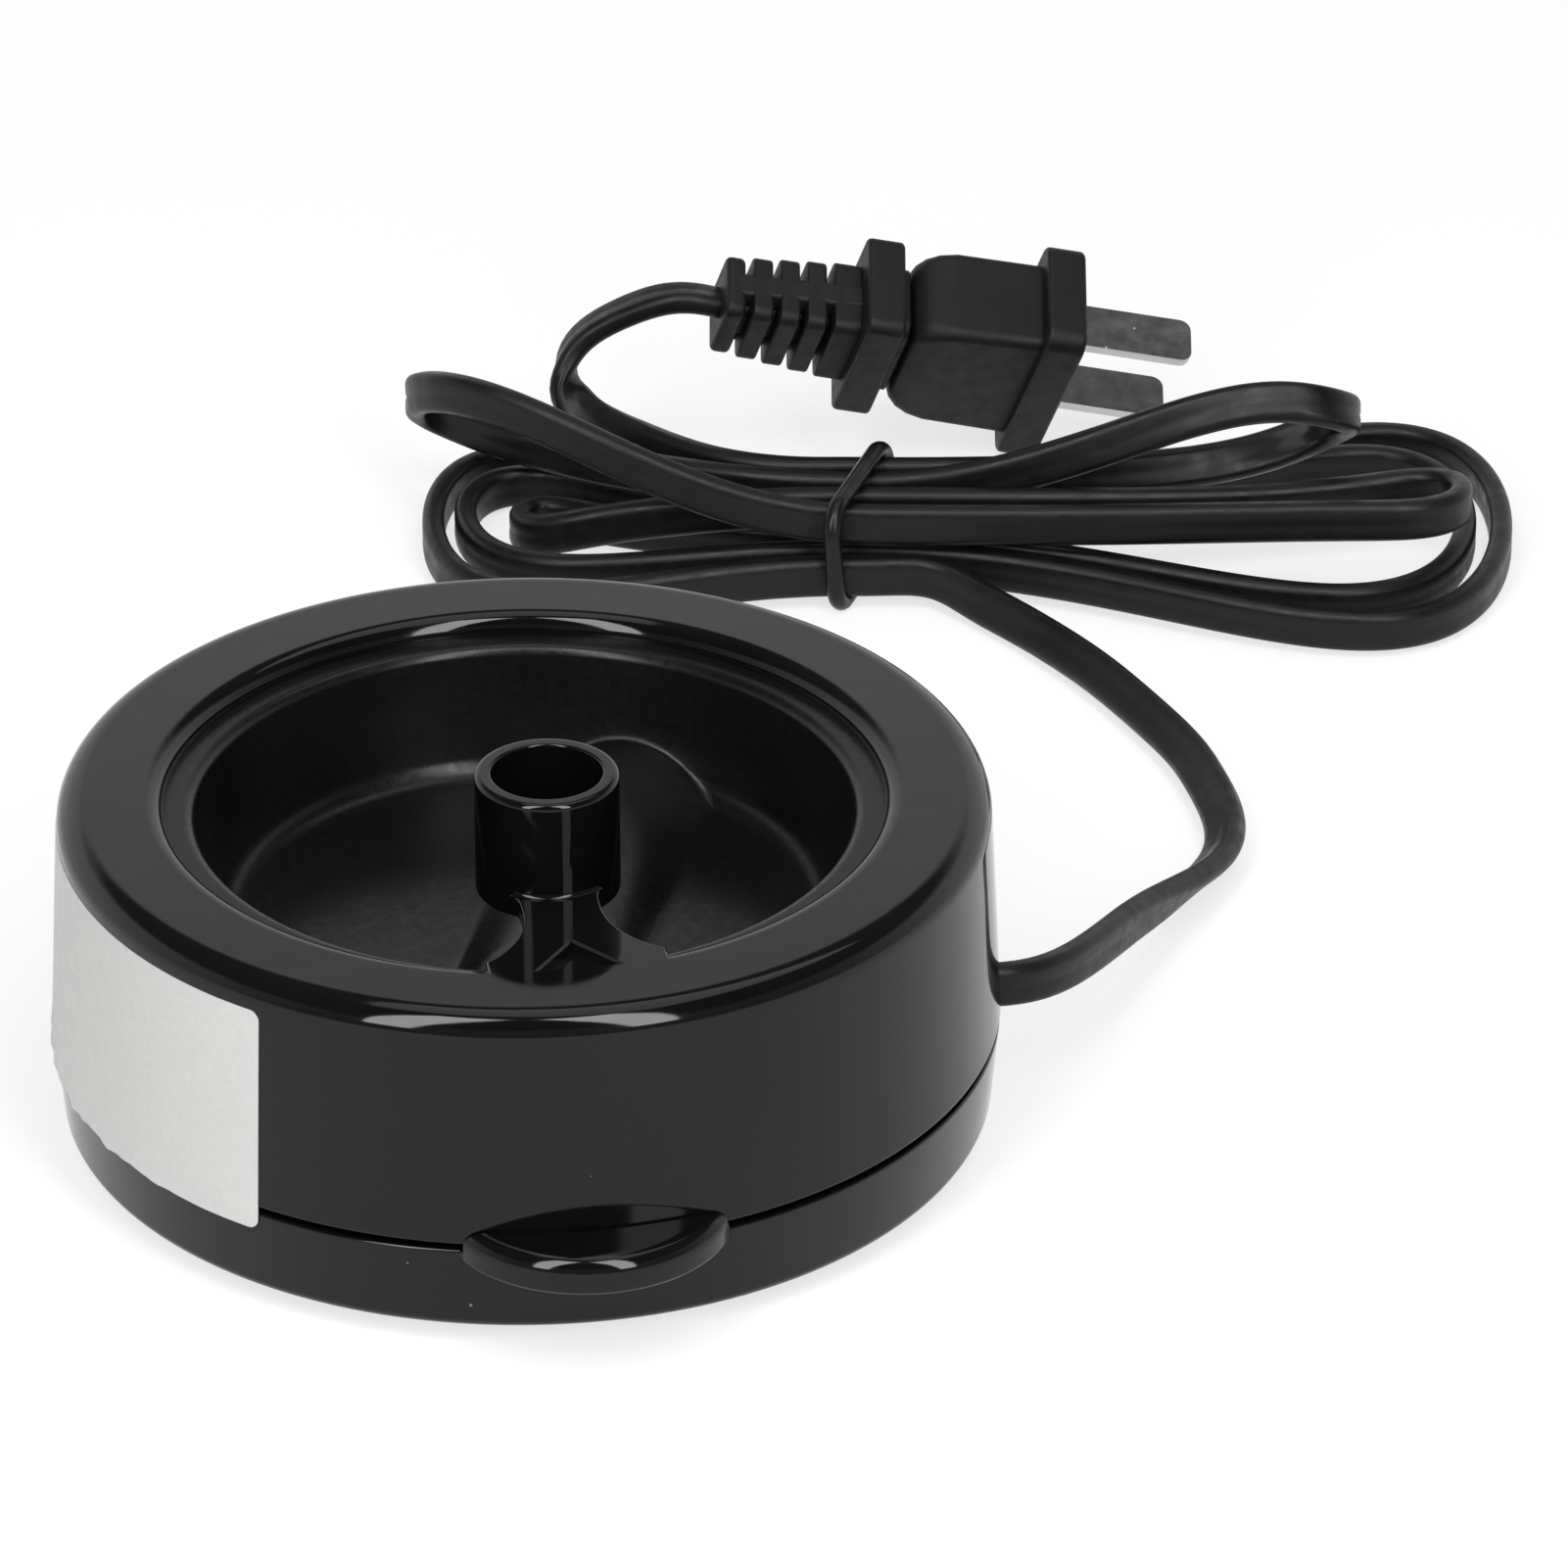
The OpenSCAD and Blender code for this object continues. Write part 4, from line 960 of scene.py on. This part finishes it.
def flat_section():
    """Thin direction first, wide direction second, with a shallow groove along each wide face."""
    x = CORD_T / 2
    first, second, third, fourth = corner_arcs(x, CORD_W / 2, CORD_CORNER, 5)
    left = [(-x, GROOVE_HALF_W), (GROOVE_DEPTH - x, 0.0), (-x, -GROOVE_HALF_W)]
    right = [(x, -GROOVE_HALF_W), (x - GROOVE_DEPTH, 0.0), (x, GROOVE_HALF_W)]
    return first + second + left + third + fourth + right


def swept(points, ups, section, closed=False):
    """Sweep a section along a route, with length and girth kept as a UV map."""
    bm = bmesh.new()
    uv = bm.loops.layers.uv.new("UVMap")
    last = len(points) - 1
    rings = []
    for i, point in enumerate(points):
        ahead = points[(i + 1) % len(points)] if closed else points[min(i + 1, last)]
        behind = points[i - 1] if closed or i else points[0]
        heading = (ahead - behind).normalized()
        side = heading.cross(ups[i]).normalized()
        wide = side.cross(heading)
        rings.append([bm.verts.new(point + side * a + wide * b) for a, b in section])
    count = len(section)
    gone = 0.0
    for i in range(len(points) if closed else last):
        j = (i + 1) % len(points)
        step = (points[j] - points[i]).length
        for k in range(count):
            m = (k + 1) % count
            face = bm.faces.new((rings[i][k], rings[i][m], rings[j][m], rings[j][k]))
            spots = ((gone, k), (gone, k + 1), (gone + step, k + 1), (gone + step, k))
            for loop, (u, v) in zip(face.loops, spots):
                loop[uv].uv = (u * MM, v / count)
        gone += step
    if not closed:
        bm.faces.new(reversed(rings[0]))
        bm.faces.new(rings[-1])
    bmesh.ops.recalc_face_normals(bm, faces=bm.faces)
    return bm


def flat_cord(material):
    """The cord, and its middle line in the frame."""
    points, ups = cord_route()
    bm = swept(points, ups, flat_section())
    cord = finished(
        "flat_cord", bm, material, ["cord_lead", "cord_hank", "cord_tail"], crease=50.0)
    middle = [((p + Vector((0, AXIS_Y, 0))) * MM)[:] for p in points]
    return cord, middle


# Tie round the hank, which leans and lies skewed across it
TIE_T = 1.9
TIE_W = 2.3
TIE_ROOM = 0.3
TIE_CORNER = 3.4
TIE_LEAN = -0.06
TIE_SKEW = 0.3
TIE_SINK = 0.2
TIE_SIDES = 16


def hank_tie(material):
    half_w = CORD_T / 2 + TIE_ROOM - SLOTS[0][0] + TIE_T / 2
    half_h = (HIGH_Z - LOW_Z + CORD_W) / 2 + TIE_ROOM + TIE_T / 2
    mid_z = (LOW_Z + HIGH_Z) / 2
    lowest = TIE_T / 2 - TIE_SINK
    loop = rounded_outline(half_w, half_h, TIE_CORNER, 8)
    points = [to_hank((TIE_LEAN * z + TIE_SKEW * y, y, max(mid_z + z, lowest))) for y, z in loop]
    along = turned((1.0, 0.0, 0.0), HANK_TURN)
    turns = [math.tau * k / TIE_SIDES for k in range(TIE_SIDES)]
    section = [(TIE_T / 2 * math.cos(a), TIE_W / 2 * math.sin(a)) for a in turns]
    bm = swept(points, [along] * len(points), section, closed=True)
    return finished("hank_tie", bm, material, ["cord_tie"], crease=60.0)


# Plug: its own axis is Z, its thickness X and its width Y, until it is laid down
PLUG_W = 26.5
PLUG_T = 15.2
PLUG_FLANGE_T = 16.0
PLUG_FLANGE_L = 5.1
COLLAR_L = 4.9
RELIEF_L = 17.3
# Strain relief at the cord, in shares of the plug's thickness and width, and what it gains by the collar
RELIEF_T_SHARE = 0.60
RELIEF_T_GAIN = 0.14
RELIEF_W_SHARE = 0.38
RELIEF_W_GAIN = 0.09
RELIEF_RIBS = 5
RIB_SHARE = 0.73
RIB_CORNER = 1.5
RIB_EDGE = 0.35
FIRST_RIB_EDGE = 0.7
# Web and spine that hold the ribs, and how far from the cord's end of the relief they start
WEB_START = 0.6
WEB_T = 3.4
WEB_INSET = 0.15
WEB_CORNER = 0.6
SPINE_START = 0.4
SPINE_T_SHARE = 0.36
SPINE_W_SHARE = 0.2
# How far one part of the plug reaches into the next
PLUG_OVERLAP = 0.2
BLADE_W = 6.3
BLADE_T = 1.5
BLADE_TIP = 15.5
BLADE_ROOT = -1.0
BLADE_PITCH = 12.7
BLADE_TIP_R = 1.5
BLADE_EDGE = 0.15
# Edges that turn by more than this, in radians, are sharp
SHARP_TURN = 0.9


def laid_plug(bm):
    """Lay the plug down where the cord ends."""
    lay = (
        Matrix.Translation(PLUG_AT)
        @ Matrix.Rotation(math.radians(PLUG_TURN), 4, "Z")
        @ Matrix.Rotation(math.radians(PLUG_PITCH), 4, "Y")
        @ Matrix.Rotation(math.radians(PLUG_ROLL), 4, "X")
        @ Matrix.Rotation(math.radians(90), 4, "Z") @ Matrix.Rotation(math.radians(90), 4, "X"))
    bmesh.ops.transform(bm, matrix=lay, verts=bm.verts)
    return bm


def slab(low, high, across, wide, corner, edge):
    """A plate across the plug's axis with rounded corners and softened rims."""
    bm = rounded_sheet(across, wide, corner, 6)
    raised(bm, bm.faces[:], high - low)
    bmesh.ops.recalc_face_normals(bm, faces=bm.faces)
    rims = [e for e in bm.edges if abs(e.verts[0].co.z - e.verts[1].co.z) < SAME_HEIGHT]
    soften(bm, rims, edge, 3, clamp=True)
    return moved(bm, (0, 0, low))


def lofted(sections):
    """Bridge rounded sections of (place, thickness, width, corner)."""
    bm = bmesh.new()
    rows = []
    for place, across, wide, corner in sections:
        outline = rounded_outline(across / 2, wide / 2, corner, 6)
        row = [bm.verts.new((x, y, place)) for x, y in outline]
        rows.append([bm.edges.new((row[k], row[(k + 1) % len(row)])) for k in range(len(row))])
    for first, second in zip(rows, rows[1:]):
        bmesh.ops.bridge_loops(bm, edges=first + second)
    for row in (rows[0], rows[-1]):
        bmesh.ops.contextual_create(bm, geom=row)
    bmesh.ops.recalc_face_normals(bm, faces=bm.faces)
    return bm


def relief_size(place):
    """Thickness and width of the strain relief, which widens from the cord to the collar."""
    run = (place + PLUG_L) / RELIEF_L
    across = PLUG_T * (RELIEF_T_SHARE + RELIEF_T_GAIN * run)
    wide = PLUG_W * (RELIEF_W_SHARE + RELIEF_W_GAIN * run)
    return across, wide


def strain_relief():
    """Ribs round the cord, held by a web that shows as a spine along the upper and lower faces."""
    start = -PLUG_L
    end = start + RELIEF_L + PLUG_OVERLAP
    step = RELIEF_L / RELIEF_RIBS
    bm = lofted([
        (start + WEB_START, WEB_T, relief_size(start)[1] - WEB_INSET, WEB_CORNER),
        (end, WEB_T, relief_size(end)[1] - WEB_INSET, WEB_CORNER)])
    spine = (SPINE_T_SHARE * PLUG_T, SPINE_W_SHARE * PLUG_W)
    added(bm, slab(start + SPINE_START, end, *spine, corner=1.2, edge=0.3))
    for k in range(RELIEF_RIBS):
        low = start + k * step
        high = low + RIB_SHARE * step if k < RELIEF_RIBS - 1 else end
        edge = FIRST_RIB_EDGE if k == 0 else RIB_EDGE
        added(bm, slab(low, high, *relief_size(low), RIB_CORNER, edge))
    return bm


def plug_body(material):
    collar = RELIEF_L - PLUG_L
    groove = collar + COLLAR_L
    # Neck and body behind the flange: place, shares of the plug's thickness and width, and corner
    swelling = (
        (groove - 0.3, 0.60, 0.44, 2.0),
        (groove + 1.6, 0.60, 0.44, 2.0),
        (groove + 1.7, 0.72, 0.54, 2.4),
        (groove + 2.1, 0.78, 0.60, 2.4),
        (groove + 3.2, 0.84, 0.67, 2.2),
        (groove + 4.8, 0.88, 0.71, 1.8),
        (groove + 7.0, 0.89, 0.74, 1.5),
        (-PLUG_FLANGE_L + PLUG_OVERLAP, 0.87, 0.77, 1.5),
    )
    bm = slab(-PLUG_FLANGE_L, 0.0, PLUG_FLANGE_T, PLUG_W, corner=2.4, edge=0.6)
    added(bm, lofted([(z, t * PLUG_T, w * PLUG_W, corner) for z, t, w, corner in swelling]))
    thin_rib = slab(groove + 0.4, groove + 1.3, 0.70 * PLUG_T, 0.54 * PLUG_W, corner=2.0, edge=0.25)
    added(bm, thin_rib)
    added(bm, slab(collar, groove, 0.97 * PLUG_T, 0.74 * PLUG_W, corner=1.7, edge=0.6))
    added(bm, strain_relief())
    return finished("plug_moulding", laid_plug(bm), material, ["plug_body"], crease=40.0)


def blade(side):
    """One blade with round tip corners, whose thin sides are marked for a painted highlight."""
    bm = bmesh.new()
    bmesh.ops.create_cube(bm, size=1.0)
    bmesh.ops.scale(bm, vec=(BLADE_W, BLADE_T, BLADE_TIP - BLADE_ROOT), verts=bm.verts)
    moved(bm, (0, side * BLADE_PITCH / 2, (BLADE_TIP + BLADE_ROOT) / 2))
    tips = [
        e for e in bm.edges if all(v.co.z > BLADE_TIP / 2 for v in e.verts)
        and abs(e.verts[0].co.y - e.verts[1].co.y) > BLADE_T / 2]
    soften(bm, tips, BLADE_TIP_R, 5)
    rims = [e for e in bm.edges if e.calc_face_angle(0.0) > SHARP_TURN]
    soften(bm, rims, BLADE_EDGE, 2)
    bm.normal_update()
    # Thin sides marked for the painted highlight in the plating's colour
    edge_highlight = bm.faces.layers.float.new("painted_edge_highlight")
    for face in bm.faces:
        face[edge_highlight] = 1.0 if abs(face.normal.y) < 0.5 else 0.0
    return bm


def plug_blades(material):
    bm = added(added(bmesh.new(), blade(-1)), blade(1))
    return finished("plug_blade_pair", laid_plug(bm), material, ["plug_blades"])


# Floor, world and lamps
FLOOR_REACH = 6.0
FLOOR_GREY = 0.86
# Share of plain white that the camera and the reflections see on the floor
FLOOR_GLOW = 0.72
# Level of the world's light on the object
WORLD_LIGHT = 0.22
# Direction from the pot to the camera, and how far to each side of it the side lamps stand
FACING = -99.6
SIDE_TURN = 31.0
LAMP_AIM = Vector((0.0, 0.0, 0.03))


def camera_or_mirror(tree):
    """One where the ray comes from the camera, a mirror-like surface or through glass."""
    path = tree.nodes.new("ShaderNodeLightPath").outputs
    seen = reckoned(tree, "MAXIMUM", path["Is Camera Ray"], path["Is Glossy Ray"])
    return reckoned(tree, "MAXIMUM", seen, path["Is Transmission Ray"])


def add_floor():
    bm = bmesh.new()
    bmesh.ops.create_grid(bm, x_segments=8, y_segments=8, size=FLOOR_REACH)
    floor = new_object("pale_floor", bm)
    paper = Finish("pale_floor_paper", 0.9, specular=0.1)
    paper.shader.inputs["Base Color"].default_value = (FLOOR_GREY, FLOOR_GREY, FLOOR_GREY, 1.0)
    tree = paper.tree
    glow = tree.nodes.new("ShaderNodeEmission")
    glow.inputs["Strength"].default_value = 1.0
    blend = tree.nodes.new("ShaderNodeMixShader")
    paper.link(reckoned(tree, "MULTIPLY", camera_or_mirror(tree), FLOOR_GLOW), blend.inputs[0])
    paper.link(paper.shader.outputs[0], blend.inputs[1])
    paper.link(glow.outputs[0], blend.inputs[2])
    paper.link(blend.outputs[0], tree.nodes["Material Output"].inputs["Surface"])
    floor.data.materials.append(paper.material)


def add_world():
    """A pale backdrop behind the pot, with a dark studio over it and in front of it."""
    world = bpy.data.worlds.new("studio_world")
    bpy.context.scene.world = world
    world.use_nodes = True
    tree = world.node_tree
    light = tree.nodes["Background"]
    light.inputs["Color"].default_value = (1.0, 1.0, 1.0, 1.0)
    split = tree.nodes.new("ShaderNodeSeparateXYZ")
    place = tree.nodes.new("ShaderNodeTexCoord")
    tree.links.new(place.outputs["Generated"], split.inputs["Vector"])
    backdrop = ranged(tree, split.outputs["Z"], low=1.0, high=0.1, start=0.46, end=0.585)
    behind = ranged(tree, split.outputs["Y"], low=0.25, high=1.0, start=-0.5, end=0.4)
    level = tree.nodes.new("ShaderNodeMix")
    level.inputs["A"].default_value = WORLD_LIGHT
    tree.links.new(camera_or_mirror(tree), level.inputs["Factor"])
    tree.links.new(reckoned(tree, "MULTIPLY", backdrop, behind), level.inputs["B"])
    tree.links.new(level.outputs["Result"], light.inputs["Strength"])


def softbox(name, azimuth, elevation, distance, width, height, watts):
    """A soft lamp that looks at the pot, placed by its direction from the pot."""
    data = bpy.data.lights.new(name, "AREA")
    data.shape = "RECTANGLE"
    data.size = width
    data.size_y = height
    data.energy = watts
    lamp = bpy.data.objects.new(name, data)
    turn, rise = math.radians(azimuth), math.radians(elevation)
    away = Vector((math.cos(rise) * math.cos(turn), math.cos(rise) * math.sin(turn), math.sin(rise)))
    lamp.location = LAMP_AIM + away * distance
    lamp.rotation_euler = away.to_track_quat("Z", "Y").to_euler()
    bpy.context.scene.collection.objects.link(lamp)


def add_lamps():
    for name, azimuth in (("left_softbox", FACING - SIDE_TURN), ("right_softbox", FACING + SIDE_TURN)):
        softbox(name, azimuth, elevation=47.0, distance=1.2, width=0.26, height=1.4, watts=12.5)
    softbox("top_softbox", 60.0, elevation=72.0, distance=1.5, width=1.0, height=1.0, watts=4.0)


bpy.context.scene.view_settings.view_transform = "Standard"
add_camera()
jacket = soft_black("cord_jacket_pvc", 1500.0, 0.4)
plug_skin = soft_black("plug_moulding_pvc", 2600.0, 0.52)
cord, cord_middle = flat_cord(jacket)
tie = hank_tie(soft_black("tie_plastic_black", 900.0, 0.3))
plug = plug_body(plug_skin)
blades = plug_blades(plated_metal())
moulding = gloss_black()
upper_shell(moulding)
base_shell(moulding)
melting_dish(satin_dish())
blank_label(label_film())
dress_cad_nodes()
add_floor()
add_world()
add_lamps()
